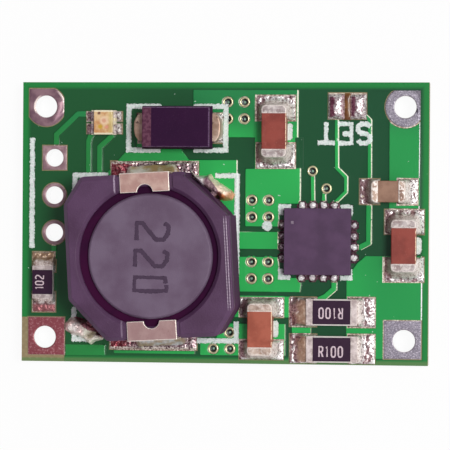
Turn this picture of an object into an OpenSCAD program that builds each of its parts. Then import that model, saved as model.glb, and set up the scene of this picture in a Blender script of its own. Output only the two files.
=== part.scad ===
// Lithium battery charger module: a green two-layer circuit board that carries a shielded power
// inductor, a rectifier diode, a leadless charger chip, chip capacitors and resistors, and a
// two-colour LED.
// Millimetres, +Z up. The origin is the middle of the underside, +X runs along the board to the battery
// end, and +Y runs to the edge with the diode.

/* [Board] */
// Length of the board
board_l = 25; // [24.4:0.1:27]
// Width of the board
board_w = 17.2; // [16.9:0.1:19]
// Thickness of the board over its copper and solder mask
board_t = 1.6; // [0.8:0.1:2]
// Thickness of the copper on each side
copper_t = 0.05; // [0.035:0.005:0.07]
// Thickness of the solder mask
mask_t = 0.025; // [0.015:0.005:0.035]
// Thickness of the printed legend above the mask
legend_t = 0.02; // [0.01:0.005:0.03]
// Width of the printed legend lines
legend_w = 0.28; // [0.2:0.02:0.36]
// Bare strip between the copper and the board's edge
edge_clear = 0.4; // [0.3:0.05:0.5]
// Gap between a solder land and the mask around it
mask_gap = 0.05; // [0.03:0.01:0.08]
// Rounding that etching leaves on the corners of the copper
etch_r = 0.06; // [0.03:0.01:0.1]

/* [Wire holes] */
// Diameter of a plated wire hole
wire_hole_d = 1.35; // [1:0.05:1.6]
// Distance of the wire holes from the board's edges, along X and Y
wire_hole_inset = [1.45, 1.5]; // [1.3:0.05:1.7]
// Width of the solder land around a wire hole
wire_land = 2.45; // [2.1:0.05:2.6]
// Thickness of the metal that plates a hole
plating_t = 0.04; // [0.025:0.005:0.06]

/* [LED header holes] */
// Diameter of a header hole
header_hole_d = 1.08; // [0.8:0.02:1.2]
// Distance between neighbouring header holes
header_pitch = 2.3; // [2:0.05:2.54]
// Width of the solder land around a header hole
header_land = 1.5; // [1.4:0.05:1.7]
// Middle header hole: distance from the left edge, and Y
header_place = [2, 1.64]; // [1:0.02:3]

/* [Vias] */
// Diameter of a via's hole
via_hole_d = 0.4; // [0.3:0.02:0.46]
// Diameter of a via's ring
via_ring_d = 0.64; // [0.56:0.02:0.7]
// Distance between vias in a group of four
via_pitch = 1.03; // [0.9:0.01:1.2]

/* [Solder] */
// Thickness of the solder film under a part
solder_film = 0.03; // [0.02:0.005:0.05]

/* [Inductor] */
// Middle of the inductor: X, Y
inductor_place = [-4.1, -2.03]; // [-5:0.01:0]
// Angle at which the inductor sits on its lands
inductor_turn = 3.3; // [0:0.1:4]
// Width of the ferrite shield, across the clips
shield_w = 10; // [9.6:0.1:10.2]
// Length of the ferrite shield, from clip to clip
shield_l = 9.95; // [9.6:0.05:10.2]
// Height of the ferrite shield
shield_h = 3.8; // [2.8:0.1:4.5]
// Bore of the ferrite shield
shield_bore_d = 8.4; // [8:0.05:8.6]
// Corner cut where a lead wire comes out: along X and Y
lead_chamfer = [2.2, 2.6]; // [2:0.05:2.8]
// Cut at the other two corners: along X and Y
corner_chamfer = [1.1, 1.6]; // [0.9:0.05:1.8]
// Bevel round the shield's top edge
shield_bevel = 0.25; // [0.1:0.05:0.4]
// Diameter of the drum core's top flange
drum_d = 7.54; // [7:0.02:7.7]
// Diameter of the drum core's post
drum_post_d = 4.2; // [3.6:0.1:4.8]
// Thickness of each flange of the drum core
drum_flange_t = 0.8; // [0.6:0.05:1]
// How far the drum core sits off the middle of the bore
drum_shift = 0.09; // [0:0.01:0.12]
// How far the drum core's top lies below the shield's top
drum_drop = 0.12; // [0.05:0.01:0.3]
// Diameter of the winding wire
winding_wire_d = 0.42; // [0.36:0.02:0.5]
// Width of a terminal clip
clip_w = 3; // [2.6:0.1:3.2]
// Thickness of a terminal clip
clip_t = 0.16; // [0.12:0.01:0.2]
// Length of a clip's tab on top of the shield
clip_tab = 1.02; // [0.9:0.02:1.2]
// Radius of the round notch in a clip's tab
clip_notch_r = 0.46; // [0.3:0.02:0.5]
// Depth of the seats that the shield has for the clips
clip_seat = 0.1; // [0.06:0.01:0.12]
// Solder lands of the inductor: length and width
inductor_land = [5.4, 2.1]; // [1.8:0.05:5.6]

/* [Diode] */
// Middle of the diode: X, and distance from the rear edge
diode_place = [-2.73, 2.82]; // [-3.2:0.01:3.2]
// Length of the diode's body
diode_l = 4.3; // [4:0.05:4.5]
// Width of the diode's body
diode_w = 2.62; // [2.4:0.02:2.8]
// Height of the diode's body
diode_h = 1.95; // [1.6:0.05:2.3]
// Draft of the moulded body, from its parting line to its top and underside
diode_draft = 0.11; // [0.05:0.01:0.16]
// Width of a diode lead
diode_lead_w = 1.5; // [1.2:0.05:1.7]
// Thickness of a diode lead
diode_lead_t = 0.18; // [0.12:0.01:0.22]
// How far a diode lead reaches out of the body
diode_lead_out = 0.42; // [0.35:0.01:0.46]

/* [Capacitors] */
// Length of a large chip capacitor
cap_l = 3.2; // [3:0.05:3.3]
// Width of a large chip capacitor
cap_w = 1.56; // [1.4:0.02:1.7]
// Height of a large chip capacitor
cap_h = 1.25; // [0.8:0.05:1.7]
// Length of the metal band at each end of a large chip capacitor
cap_band = 0.55; // [0.4:0.05:0.7]
// Length of the small chip capacitor
small_cap_l = 2.1; // [1.9:0.05:2.2]
// Width of the small chip capacitor
small_cap_w = 1.36; // [1.2:0.02:1.4]
// Height of the small chip capacitor
small_cap_h = 0.95; // [0.6:0.05:1.3]
// Length of the metal band at each end of the small chip capacitor
small_cap_band = 0.46; // [0.3:0.02:0.55]
// Thickness of the metal on a chip part's ends
end_metal_t = 0.03; // [0.02:0.005:0.05]
// Input capacitor: X, and distance from the rear edge
input_cap_place = [3.15, 3.02]; // [2.8:0.01:3.4]
// Battery capacitor: distance from the right edge, and Y
battery_cap_place = [1.46, -1.32]; // [-1.6:0.01:1.7]
// Output capacitor: X, and distance from the front edge
output_cap_place = [2.36, 2.15]; // [2:0.01:2.6]
// Bypass capacitor: distance from the right edge, and Y
bypass_cap_place = [2.42, 1.96]; // [1.8:0.01:2.6]

/* [Resistors] */
// Length of a sense resistor
sense_l = 3.1; // [3:0.05:3.3]
// Width of a sense resistor
sense_w = 1.6; // [1.45:0.05:1.7]
// Height of a sense resistor
sense_h = 0.55; // [0.45:0.05:0.65]
// Length of the metal band at each end of a sense resistor
sense_band = 0.5; // [0.4:0.02:0.6]
// Length of the LED resistor
led_res_l = 2; // [1.9:0.05:2.1]
// Width of the LED resistor
led_res_w = 1.27; // [1.15:0.02:1.35]
// Height of the LED resistor
led_res_h = 0.5; // [0.4:0.05:0.6]
// Length of the metal band at each end of the LED resistor
led_res_band = 0.32; // [0.25:0.01:0.45]
// Bare margin of substrate beside a resistor's overcoat
overcoat_margin = 0.08; // [0.04:0.01:0.14]
// Rise of a resistor's overcoat above its end metal
overcoat_rise = 0.02; // [0.01:0.005:0.04]
// Upper sense resistor: X, and distance from the front edge
upper_sense_place = [6.68, 3.21]; // [3:0.01:6.9]
// Lower sense resistor: X, and distance from the front edge
lower_sense_place = [6.7, 0.96]; // [0.85:0.01:6.9]
// LED resistor: distance from the left edge, and Y
led_res_place = [1.38, -3.71]; // [-4:0.01:2]

/* [Charger chip] */
// Middle of the charger chip: X, Y
chip_place = [5.8, -1.1]; // [-1.4:0.01:6]
// Side of the charger chip's square body
chip_side = 4.05; // [3.9:0.05:4.15]
// Height of the charger chip
chip_h = 0.82; // [0.7:0.02:1]
// Distance between neighbouring leads of the chip
chip_pitch = 0.66; // [0.6:0.01:0.7]
// Width of a chip lead
chip_lead_w = 0.32; // [0.24:0.02:0.36]
// Length of a chip lead along the underside
chip_lead_l = 0.45; // [0.35:0.05:0.5]
// Height of a chip lead on the body's side
chip_lead_h = 0.22; // [0.15:0.01:0.3]
// Side of the thermal pad under the chip
thermal_side = 2.3; // [2:0.05:2.5]
// How far the solder lands reach out from the chip's body
chip_land_reach = 0.4; // [0.3:0.02:0.45]

/* [LED] */
// Middle of the LED: distance from the diode's middle, and from the rear edge
led_place = [4.68, 2.49]; // [2.2:0.01:5]
// Size of the LED along X
led_l = 1.6; // [1.5:0.05:1.7]
// Size of the LED along Y
led_w = 1.5; // [1.4:0.05:1.6]
// Thickness of the LED's substrate
led_base_t = 0.24; // [0.2:0.02:0.3]
// Height of the LED's lens above the substrate
led_lens_h = 0.3; // [0.25:0.02:0.4]
// Length of the LED's lens along X
led_lens_l = 1.16; // [1:0.02:1.2]
// Gap between the two terminals at one end of the LED
led_terminal_gap = 0.32; // [0.24:0.02:0.4]
// Side of an LED die
led_die = 0.26; // [0.2:0.02:0.3]

/* [Solder jumper] */
// Middle of the jumper: X, and distance from the rear edge
jumper_place = [7.53, 1.44]; // [1.3:0.01:7.8]
// Solder land of the jumper: length and width
jumper_land = [1, 1.58]; // [0.9:0.02:1.7]
// Gap between the jumper's two lands
jumper_gap = 0.31; // [0.2:0.01:0.4]
// Height of the solder that crowns a jumper land
jumper_solder_h = 0.16; // [0.08:0.02:0.24]

/* [Hidden] */

$fn = 32;
// Overshoot of a cutting shape past the face that it cuts
cut = 0.5;

// Edges of the board
right = board_l / 2;
rear = board_w / 2;
// Heights of the laminate's faces, the solder lands and the undersides of the parts
laminate_low = mask_t + copper_t;
laminate_high = board_t - copper_t - mask_t;
land_z = laminate_high + copper_t;
part_z = land_z + solder_film;
// Height of the mask where no copper lies under it
mask_low_z = laminate_high + mask_t;

// Places on the board
wire_x = right - wire_hole_inset[0];
wire_y = rear - wire_hole_inset[1];
header_at = [header_place[0] - right, header_place[1]];
diode_at = [diode_place[0], rear - diode_place[1]];
input_cap_at = [input_cap_place[0], rear - input_cap_place[1]];
battery_cap_at = [right - battery_cap_place[0], battery_cap_place[1]];
output_cap_at = [output_cap_place[0], output_cap_place[1] - rear];
bypass_cap_at = [right - bypass_cap_place[0], bypass_cap_place[1]];
upper_sense_at = [upper_sense_place[0], upper_sense_place[1] - rear];
lower_sense_at = [lower_sense_place[0], lower_sense_place[1] - rear];
led_res_at = [led_res_place[0] - right, led_res_place[1]];
led_at = [diode_at[0] - led_place[0], rear - led_place[1]];
jumper_at = [jumper_place[0], rear - jumper_place[1]];
jumper_half_step = (jumper_land[0] + jumper_gap) / 2;

// How the lands and solder of the chip parts reach past their ends and sides: [end, under, side]
cap_reach = [0.6, 0.9, 0.42];
output_cap_reach = [0.29, 0.9, 0.57];
small_reach = [0.72, 0.5, 0.09];
sense_reach = [1.05, 0.6, 0.09];
led_res_reach = [0.85, 0.4, 0.09];
diode_reach = [0.06, 1.15, 0.15];
led_reach = [0.3, 0.25, 0];

// Vias: four groups around the parts that they serve, and single ones
via_groups = [input_cap_at + [-2.42, 1.3], chip_place + [-3.55, 1.98], chip_place + [-3.56, -1.78]];
signal_vias = [chip_place + [-0.37, 4.3], chip_place + [0.49, 3.23]];
ground_vias = [for (p = [[-1.95, -0.25], [-2.95, -1.25], [-1.92, -1.25]]) output_cap_at + p];
four = [for (i = [-1, 1], j = [-1, 1]) [i, j] * via_pitch / 2];
vias = concat([for (g = via_groups, f = four) g + f], signal_vias, ground_vias);

// Inductor heights and inner sizes
shield_z = part_z + clip_t - clip_seat;
shield_top = shield_z + shield_h;
drum_clear = 0.03;
clip_seat_w = clip_w + 0.4;
clip_seat_l = clip_tab + 0.1;
clip_foot = shield_l / 2 - clip_seat - shield_bore_d / 2 - drum_clear;
drum_top = shield_top - drum_drop;
drum_low_d = shield_bore_d - 2 * (drum_shift + drum_clear);
winding_low = shield_z + drum_flange_t + drum_clear;
winding_high = drum_top - drum_flange_t - drum_clear;
winding_rows = floor((winding_high - winding_low) / winding_wire_d);
winding_row_h = (winding_high - winding_low) / winding_rows;
winding_r = drum_d / 2 - 0.3;
winding_sink = 0.05;
// How the inductor's lands lie: off its middle, and out past the shield
inductor_land_shift = -0.2;
inductor_land_out = 0.8;

// Traces
thin_trace = 0.22;
wide_trace = 0.32;

// Place of an inductor land: 1 is the input's, -1 the output's
function inductor_land_at(s) =
    inductor_place + [inductor_land_shift, s * (shield_l / 2 + inductor_land_out - inductor_land[1] / 2)];
// Direction from a to b, and its left-hand normal
function heading(a, b) = (b - a) / norm(b - a);
function left_of(d) = [-d[1], d[0]];
// Vector from point i of a path to the mitred corner of a strip of half-width 1
function mitre(path, i) =
    let (last = len(path) - 1,
         before = left_of(heading(path[max(i - 1, 0)], path[max(i, 1)])),
         after = left_of(heading(path[min(i, last - 1)], path[min(i + 1, last)])),
         both = before + after)
    2 * both / (both * both);
// Place of chip lead i, from 0, on a side: 0 is right, 1 rear, 2 left, 3 front
function chip_lead_at(side, i, out = 0) =
    let (along = (i - 1.5) * chip_pitch, far = chip_side / 2 + out, turn = side * 90)
    chip_place + [far * cos(turn) - along * sin(turn), far * sin(turn) + along * cos(turn)];

// General shapes

module strip(path, w) {
    polygon(concat(
        [for (i = [0 : len(path) - 1]) path[i] + mitre(path, i) * w / 2],
        [for (i = [len(path) - 1 : -1 : 0]) path[i] - mitre(path, i) * w / 2]));
}

module put(place, turn = 0) {
    translate([place[0], place[1], 0]) rotate(turn) children();
}

module level(z, h) {
    translate([0, 0, z]) linear_extrude(h) children();
}

module rounded_rect(size, r) {
    offset(r = r, $fn = 16) square([size[0] - 2 * r, size[1] - 2 * r], center = true);
}

// A block with all its edges rounded, standing on z = 0
module tumbled_block(l, w, h, r) {
    intersection() {
        linear_extrude(h) rounded_rect([l, w], r);
        translate([-l / 2, 0, h / 2]) rotate([90, 0, 90]) linear_extrude(l) rounded_rect([w, h], r);
        translate([0, w / 2, h / 2]) rotate([90, 0, 0]) linear_extrude(w) rounded_rect([l, h], r);
    }
}

module block(l, w, h) {
    translate([-l / 2, -w / 2, 0]) cube([l, w, h]);
}

// Board outlines, lands and copper areas, drawn flat

module board_outline() {
    square([board_l, board_w], center = true);
}

module copper_limit() {
    square([board_l - 2 * edge_clear, board_w - 2 * edge_clear], center = true);
}

// Round lands at the rear, with their outer corner filled, and square ones at the front
module wire_land_shape(sx, sy, grow = 0) {
    intersection() {
        translate([sx * wire_x, sy * wire_y]) {
            if (sy > 0) {
                circle(d = wire_land + 2 * grow);
                translate([sx * wire_land / 4, sy * wire_land / 4])
                    square(wire_land / 2 + 2 * grow, center = true);
            } else {
                square(wire_land + 2 * grow, center = true);
            }
        }
        offset(delta = grow) copper_limit();
    }
}

module wire_lands(grow = 0) {
    for (sx = [-1, 1], sy = [-1, 1]) wire_land_shape(sx, sy, grow);
}

// The mask also leaves the laminate bare from the front left land out to the board's edges
module bare_corner() {
    translate([-right, -rear]) square([wire_hole_inset[0], wire_hole_inset[1]] + [1, 1] * wire_land / 2);
}

module header_land_shape(i, grow = 0) {
    translate(header_at + [0, i * header_pitch]) {
        if (i > 0) square(header_land + 2 * grow, center = true);
        else circle(d = header_land + 2 * grow);
    }
}

module header_lands(grow = 0) {
    for (i = [-1 : 1]) header_land_shape(i, grow);
}

module land(place, size, grow) {
    translate(place) square([size[0] + 2 * grow, size[1] + 2 * grow], center = true);
}

// Lands for the two ends of a part that lies along X
module end_lands(l, w, reach, grow) {
    for (s = [-1, 1])
        land([s * (l / 2 + (reach[0] - reach[1]) / 2), 0], [reach[0] + reach[1], w + 2 * reach[2]], grow);
}

module led_lands(grow) {
    for (sy = [-1, 1]) translate([0, sy * led_w / 4]) end_lands(led_l, led_terminal_w, led_reach, grow);
}

module chip_lands(grow) {
    for (side = [0 : 3], i = [0 : 3])
        translate(chip_lead_at(side, i)) rotate(side * 90)
            land([(chip_land_reach - chip_lead_l) / 2, 0],
                [chip_land_reach + chip_lead_l, chip_lead_w], grow);
    land(chip_place, [thermal_side, thermal_side], grow);
}

module jumper_lands(grow) {
    for (s = [-1, 1]) land(jumper_at + [s * jumper_half_step, 0], jumper_land, grow);
}

module inductor_lands(grow) {
    for (s = [-1, 1]) land(inductor_land_at(s), inductor_land, grow);
}

// Every land that a surface-mounted part is soldered to
module part_lands(grow = 0) {
    put(input_cap_at, 90) end_lands(cap_l, cap_w, cap_reach, grow);
    put(battery_cap_at, 90) end_lands(cap_l, cap_w, cap_reach, grow);
    put(output_cap_at, 90) end_lands(cap_l, cap_w, output_cap_reach, grow);
    put(bypass_cap_at) end_lands(small_cap_l, small_cap_w, small_reach, grow);
    put(upper_sense_at) end_lands(sense_l, sense_w, sense_reach, grow);
    put(lower_sense_at) end_lands(sense_l, sense_w, sense_reach, grow);
    put(led_res_at, 90) end_lands(led_res_l, led_res_w, led_res_reach, grow);
    put(diode_at) end_lands(diode_l + 2 * diode_lead_out, diode_lead_w, diode_reach, grow);
    put(led_at) led_lands(grow);
    chip_lands(grow);
    jumper_lands(grow);
    inductor_lands(grow);
}

// Copper areas that carry the current between the parts
module pours() {
    // From the diode and the chip's switch leads to the inductor's input clip
    translate(inductor_place) polygon([
        [-3.1, 2.5], [-3.1, 5.1], [-1.9, 6.45], [-1.3, 6.45], [-1.3, 8.5], [1.5, 8.5], [1.5, 6.45],
        [1.95, 5.87], [4.9, 5.87], [4.9, 1.49], [7.44, 1.49], [7.44, 0.45], [2.5, 0.45], [2.5, 2.5]]);
    // Ground between the diode's anode and the input capacitor, with four vias
    translate(input_cap_at) polygon([
        [-5.07, 2.55], [1.36, 2.55], [1.36, -0.34], [-4.4, -0.34], [-5.07, 0.6]]);
    // Input supply from the input capacitor to the chip, with four vias
    translate(chip_place) polygon([
        [-4.48, 0.9], [-2.42, 0.9], [-2.42, 2.3], [-1.11, 2.3], [-1.11, 4.5], [-1.3, 6.3], [-3.9, 6.3],
        [-3.9, 4.41], [-4.48, 4.41]]);
    // Ground beside the chip, with four vias, carried on under the inductor
    translate(chip_place) polygon([
        [-9.8, -0.97], [-2.44, -0.97], [-2.33, -2.23], [-1.34, -2.23], [-1.03, -2.58], [-1.08, -3.09],
        [-9.8, -3.09]]);
    // From the inductor's output clip to the output capacitor and the sense resistors
    translate(output_cap_at) polygon([
        [-9.1, -1.6], [-4.1, -1.6], [-4.1, 0.7], [1.76, 0.7], [1.76, 1.98], [-6.4, 1.98], [-9.1, 0.2]]);
    translate(upper_sense_at) polygon([[-2.5, 0.88], [-1.3, 0.88], [-1.3, -2.8], [-2.4, -2.8]]);
    // Ground at the front edge, round the output capacitor, with three vias
    translate(output_cap_at) polygon([
        [-3.76, -1.65], [1.46, -1.65], [1.46, 0.3], [-2.4, 0.3], [-2.9, -0.9], [-3.76, -0.9]]);
    // Battery area: battery capacitor, sense resistors and the front right wire hole
    polygon([
        chip_place + [2.4, -1.3], chip_place + [2.9, -0.86], [right - edge_clear, chip_place[1] - 0.86],
        [right - edge_clear, edge_clear - rear], [upper_sense_at[0] + 0.86, edge_clear - rear],
        [upper_sense_at[0] + 0.86, chip_place[1] - 2.2]]);
    // Ground strip down the right edge
    polygon([
        [wire_x - 0.95, wire_y], [wire_x + 0.86, wire_y], [wire_x + 0.86, battery_cap_at[1] + 1.6],
        [wire_x - 0.95, battery_cap_at[1] + 1.6]]);
    // Ground beside the front left wire hole
    translate([-wire_x, -wire_y]) polygon([[0, -1.1], [3.76, -1.1], [3.76, -0.45], [0, -0.45]]);
}

module traces() {
    // Jumper to the chip
    strip([jumper_at + [-jumper_half_step, -0.4], jumper_at + [-0.62, -3.77],
        jumper_at + [-0.06, -4.33], jumper_at + [-0.06, -5.23], chip_lead_at(1, 0) + [0.03, 0.35],
        chip_lead_at(1, 0)], thin_trace);
    // Jumper to the bypass capacitor, and on to the chip
    strip([jumper_at + [1, -0.5], jumper_at + [1.37, -0.87], bypass_cap_at + [-1.17, 0]], thin_trace);
    strip([bypass_cap_at + [-1.2, 0], [bypass_cap_at[0] - 1.2, chip_place[1] - 0.05],
        chip_lead_at(0, 1, 0.55), chip_lead_at(0, 1)], wide_trace);
    // Signal vias to the chip
    strip([signal_vias[0], chip_lead_at(1, 2)], thin_trace);
    strip([signal_vias[1], [chip_lead_at(1, 1)[0], signal_vias[1][1] - 0.35], chip_lead_at(1, 1)],
        thin_trace);
    // Sense lead of the chip
    strip([chip_lead_at(3, 3), chip_lead_at(3, 3, 0.85), upper_sense_at + [-0.45, 0.92],
        upper_sense_at + [-1.4, 0.5]], wide_trace);
    // LED to the header holes and the chip's status outputs
    strip([led_at + [-0.95, 0.53], led_at + [-1.65, 0.53], [header_at[0] + 0.1, led_at[1] - 0.75],
        header_at + [0.1, header_pitch]], wide_trace);
    strip([led_at + [-0.72, -0.5], led_at + [-0.98, -1.13], led_at + [-0.98, -3.6]], wide_trace);
    strip([led_at + [0.46, -0.6], led_at + [0.46, -0.82], led_at + [-0.29, -1.5],
        led_at + [-0.29, -3.6]], wide_trace);
    // Header hole to the LED resistor
    strip([header_at + [0, -header_pitch], led_res_at + [0.6, 1.4]], wide_trace);
}

// All the copper on the top, apart from the lands of the plated holes
module top_copper_plan() {
    offset(r = etch_r, $fn = 12) offset(delta = -2 * etch_r) offset(r = etch_r, $fn = 12) {
        intersection() {
            union() {
                pours();
                part_lands();
            }
            copper_limit();
        }
        traces();
    }
}

// Ground plane on the underside, and the input supply that crosses it to just past the chip's vias
supply_w = 2.4;
supply_past = 1.2;
supply_clear = 0.3;

module bottom_copper_plan() {
    difference() {
        copper_limit();
        offset(delta = supply_clear) supply_strip();
        header_lands(supply_clear);
        wire_land_shape(1, -1, supply_clear);
        wire_land_shape(-1, 1, supply_clear);
        for (p = signal_vias) translate(p) circle(d = via_ring_d + 2 * supply_clear);
    }
    supply_strip();
}

module supply_strip() {
    bend = [supply_w - wire_x, wire_y];
    heading = via_groups[1] - bend;
    finish = via_groups[1] + supply_past * heading / norm(heading);
    strip([[-wire_x, wire_y], bend, finish], supply_w);
}

// Printed legend: outlines of the parts and their marks

legend_bar = [0.38, 1];
legend_dot_r = 0.29;
// Half the reach of the outlines round the diode, the inductor and the chip, and how far the print
// is off them
diode_outline = [3, 1.34];
diode_print_off = [-0.17, 0];
diode_arm = 1.97;
inductor_outline = [5.03, 5.05];
inductor_print_off = [-0.11, -0.14];
chip_outline = [2.19, 2.19];
chip_print_off = [-0.1, 0];
chip_arm = [0.6, 0.5];

// Two lines that meet at a corner
module corner_mark(corner, along, across) {
    strip([corner + [along, 0], corner, corner + [0, across]], legend_w);
}

module legend_plan() {
    // Bar beside the header holes
    strip([header_at + [-1.4, 1.53 * header_pitch], header_at + [-1.4, -1.42 * header_pitch]], legend_w);
    // Brackets round the diode
    translate(diode_at + diode_print_off) for (s = [-1, 1]) mirror([1 - s, 0]) {
        out = diode_outline[0];
        side = diode_outline[1];
        strip([[out - diode_arm, side], [out, side], [out, -side], [out - diode_arm, -side]],
            legend_w);
    }
    // Corners of the inductor, with a long line on the chip's side
    translate(inductor_place + inductor_print_off) {
        x = inductor_outline[0];
        y = inductor_outline[1];
        corner_mark([-x, y], 2.07, -1.05);
        corner_mark([x, y], -1.35, -7.1);
        corner_mark([-x, -y], 1, 1.97);
        corner_mark([x, -y], -2.4, 1.18);
    }
    // Corners of the chip, and the dot at its first lead
    difference() {
        for (sx = [-1, 1], sy = [-1, 1])
            corner_mark(chip_place + chip_print_off + [sx * chip_outline[0], sy * chip_outline[1]],
                -sx * chip_arm[0], -sy * chip_arm[1]);
        land(chip_place, [chip_side, chip_side], mask_gap);
    }
    translate(chip_place + [-3.12, 0.93]) circle(r = legend_dot_r);
    // Bars beside the large capacitors
    for (p = [input_cap_at, battery_cap_at, output_cap_at])
        translate(p + [cap_w / 2 + legend_bar[0] / 6, 0]) rounded_rect(legend_bar, legend_bar[0] * 0.45);
}

// Board

// The drilled hole that a plated hole of this diameter lines, as a prism with flat sides
module drilled(hole_d) {
    offset(delta = plating_t) circle(d = hole_d);
}

module board_laminate() {
    color([0.72, 0.66, 0.45])
        difference() {
            level(laminate_low, laminate_high - laminate_low) board_outline();
            translate([0, 0, -cut]) {
                linear_extrude(board_t + 2 * cut) {
                    for (sx = [-1, 1], sy = [-1, 1])
                        translate([sx * wire_x, sy * wire_y]) drilled(wire_hole_d);
                    for (i = [-1 : 1]) translate(header_at + [0, i * header_pitch]) drilled(header_hole_d);
                    for (p = vias) translate(p) drilled(via_hole_d);
                }
            }
        }
}

// Room that the plated holes need in a layer of copper
module plated_hole_room() {
    translate([0, 0, -cut]) {
        linear_extrude(board_t + 2 * cut) wire_lands();
        linear_extrude(board_t + 2 * cut) header_lands();
        for (p = vias) translate(p) cylinder(d = via_ring_d, h = board_t + 2 * cut);
    }
}

module top_copper() {
    color([0.78, 0.74, 0.7])
        difference() {
            level(laminate_high, copper_t) top_copper_plan();
            plated_hole_room();
        }
}

module bottom_copper() {
    color([0.78, 0.6, 0.45])
        difference() {
            level(mask_t, copper_t) bottom_copper_plan();
            plated_hole_room();
        }
}

module top_solder_mask() {
    color([0.1, 0.45, 0.22])
        difference() {
            union() {
                level(laminate_high, mask_t) board_outline();
                level(laminate_high, copper_t + mask_t) offset(delta = mask_t) top_copper_plan();
            }
            level(laminate_high - cut, copper_t + cut) top_copper_plan();
            level(laminate_high - cut, board_t) {
                part_lands(mask_gap);
                land(jumper_at, [jumper_gap, jumper_land[1]], mask_gap);
            }
            level(laminate_high - cut, board_t) wire_lands(mask_gap);
            level(laminate_high - cut, board_t) header_lands(mask_gap);
            level(laminate_high - cut, board_t) bare_corner();
            for (p = vias)
                translate([p[0], p[1], laminate_high - cut]) cylinder(d = via_ring_d, h = board_t);
        }
}

module bottom_solder_mask() {
    color([0.1, 0.45, 0.22])
        difference() {
            union() {
                level(copper_t, mask_t) board_outline();
                level(0, copper_t + mask_t) intersection() {
                    offset(delta = mask_t) bottom_copper_plan();
                    board_outline();
                }
            }
            level(mask_t, copper_t + cut) bottom_copper_plan();
            level(-cut, board_t) wire_lands(mask_gap);
            level(-cut, board_t) header_lands(mask_gap);
            for (p = vias) translate([p[0], p[1], -cut]) cylinder(d = via_ring_d, h = board_t);
        }
}

module top_legend() {
    color([0.95, 0.97, 0.95])
        difference() {
            level(mask_low_z, board_t + legend_t - mask_low_z) legend_plan();
            level(0, board_t) offset(delta = mask_t) top_copper_plan();
        }
}

// A plated hole: a tube with a land at each end
module plated_hole(place, hole_d) {
    difference() {
        union() {
            level(mask_t, land_z - mask_t) translate(place) drilled(hole_d);
            for (z = [mask_t, laminate_high]) level(z, copper_t) children();
        }
        put(place) translate([0, 0, -cut]) cylinder(d = hole_d, h = board_t + 2 * cut);
    }
}

module wire_hole_plating() {
    color([0.78, 0.72, 0.74])
        for (sx = [-1, 1], sy = [-1, 1])
            plated_hole([sx * wire_x, sy * wire_y], wire_hole_d) wire_land_shape(sx, sy);
}

module led_header_plating() {
    color([0.78, 0.72, 0.74])
        for (i = [-1 : 1])
            plated_hole(header_at + [0, i * header_pitch], header_hole_d) header_land_shape(i);
}

module via_plating() {
    color([0.85, 0.83, 0.72])
        for (p = vias)
            plated_hole(p, via_hole_d) translate(p) circle(d = via_ring_d);
}

// Inductor

module in_inductor() {
    put(inductor_place, inductor_turn) children();
}

// Outline of the shield: two large corner cuts where the wires come out, two smaller ones
module shield_plan(inset = 0) {
    x = shield_w / 2;
    y = shield_l / 2;
    a = lead_chamfer;
    b = corner_chamfer;
    round_r = 0.45;
    offset(r = round_r - inset, $fn = 24) offset(delta = -round_r) polygon([
        [x - a[0], y], [x, y - a[1]], [x, b[1] - y], [x - b[0], -y],
        [a[0] - x, -y], [-x, a[1] - y], [-x, y - b[1]], [b[0] - x, y]]);
}

module inductor_shield() {
    lip = 0.2;
    color([0.33, 0.27, 0.34])
        in_inductor() difference() {
            hull() {
                level(shield_z, shield_h - shield_bevel) shield_plan();
                level(shield_z, shield_h) shield_plan(shield_bevel);
            }
            translate([0, 0, shield_z - cut]) cylinder(d = shield_bore_d, h = shield_h + 2 * cut, $fn = 96);
            translate([0, 0, shield_top - lip])
                cylinder(d1 = shield_bore_d, d2 = shield_bore_d + 2 * lip + 0.02, h = lip + 0.01, $fn = 96);
            for (turn = [0, 180]) rotate(turn) {
                clip_seats();
                lead_slot();
            }
        }
}

// Shallow seats for a clip on the shield's top, side and underside
module clip_seats() {
    y = shield_l / 2 - clip_seat;
    translate([-clip_seat_w / 2, y, shield_z - cut]) cube([clip_seat_w, cut, shield_h + 2 * cut]);
    for (z = [shield_z - cut, shield_top - clip_seat])
        translate([-clip_seat_w / 2, y - clip_seat_l, z])
            cube([clip_seat_w, clip_seat_l + cut, cut + clip_seat]);
}

// Slot in the foot of the shield where a lead wire comes out of the corner cut
module lead_slot() {
    slot_w = winding_wire_d + 2 * lead_clear;
    slot_h = lead_z + winding_wire_d / 2 + lead_clear - shield_z;
    rotate(atan2(cut_mid[1], cut_mid[0])) translate([0, -slot_w / 2, shield_z - cut])
        cube([shield_w, slot_w, slot_h + cut]);
}

module inductor_drum_core() {
    edge = 0.12;
    color([0.4, 0.34, 0.42])
        in_inductor() translate([drum_shift, 0, 0]) rotate_extrude($fn = 96) polygon([
            [0, shield_z], [drum_low_d / 2 - edge, shield_z], [drum_low_d / 2, shield_z + edge],
            [drum_low_d / 2, shield_z + drum_flange_t], [drum_post_d / 2, shield_z + drum_flange_t],
            [drum_post_d / 2, drum_top - drum_flange_t], [drum_d / 2, drum_top - drum_flange_t],
            [drum_d / 2, drum_top - edge], [drum_d / 2 - edge, drum_top], [0, drum_top]]);
}

// Wound copper between the flanges: its outside follows the rows of wire
module inductor_winding() {
    color([0.72, 0.4, 0.22])
        in_inductor() translate([drum_shift, 0, winding_low]) rotate_extrude($fn = 96) {
            translate([drum_post_d / 2 + drum_clear, 0])
                square([winding_r - drum_post_d / 2 - drum_clear, winding_high - winding_low]);
            for (i = [0 : winding_rows - 1])
                intersection() {
                    translate([winding_r - winding_sink, (i + 0.5) * winding_row_h])
                        circle(d = winding_row_h, $fn = 12);
                    translate([winding_r - 2 * winding_sink, 0])
                        square([winding_row_h, winding_high - winding_low]);
                }
        }
}

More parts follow.
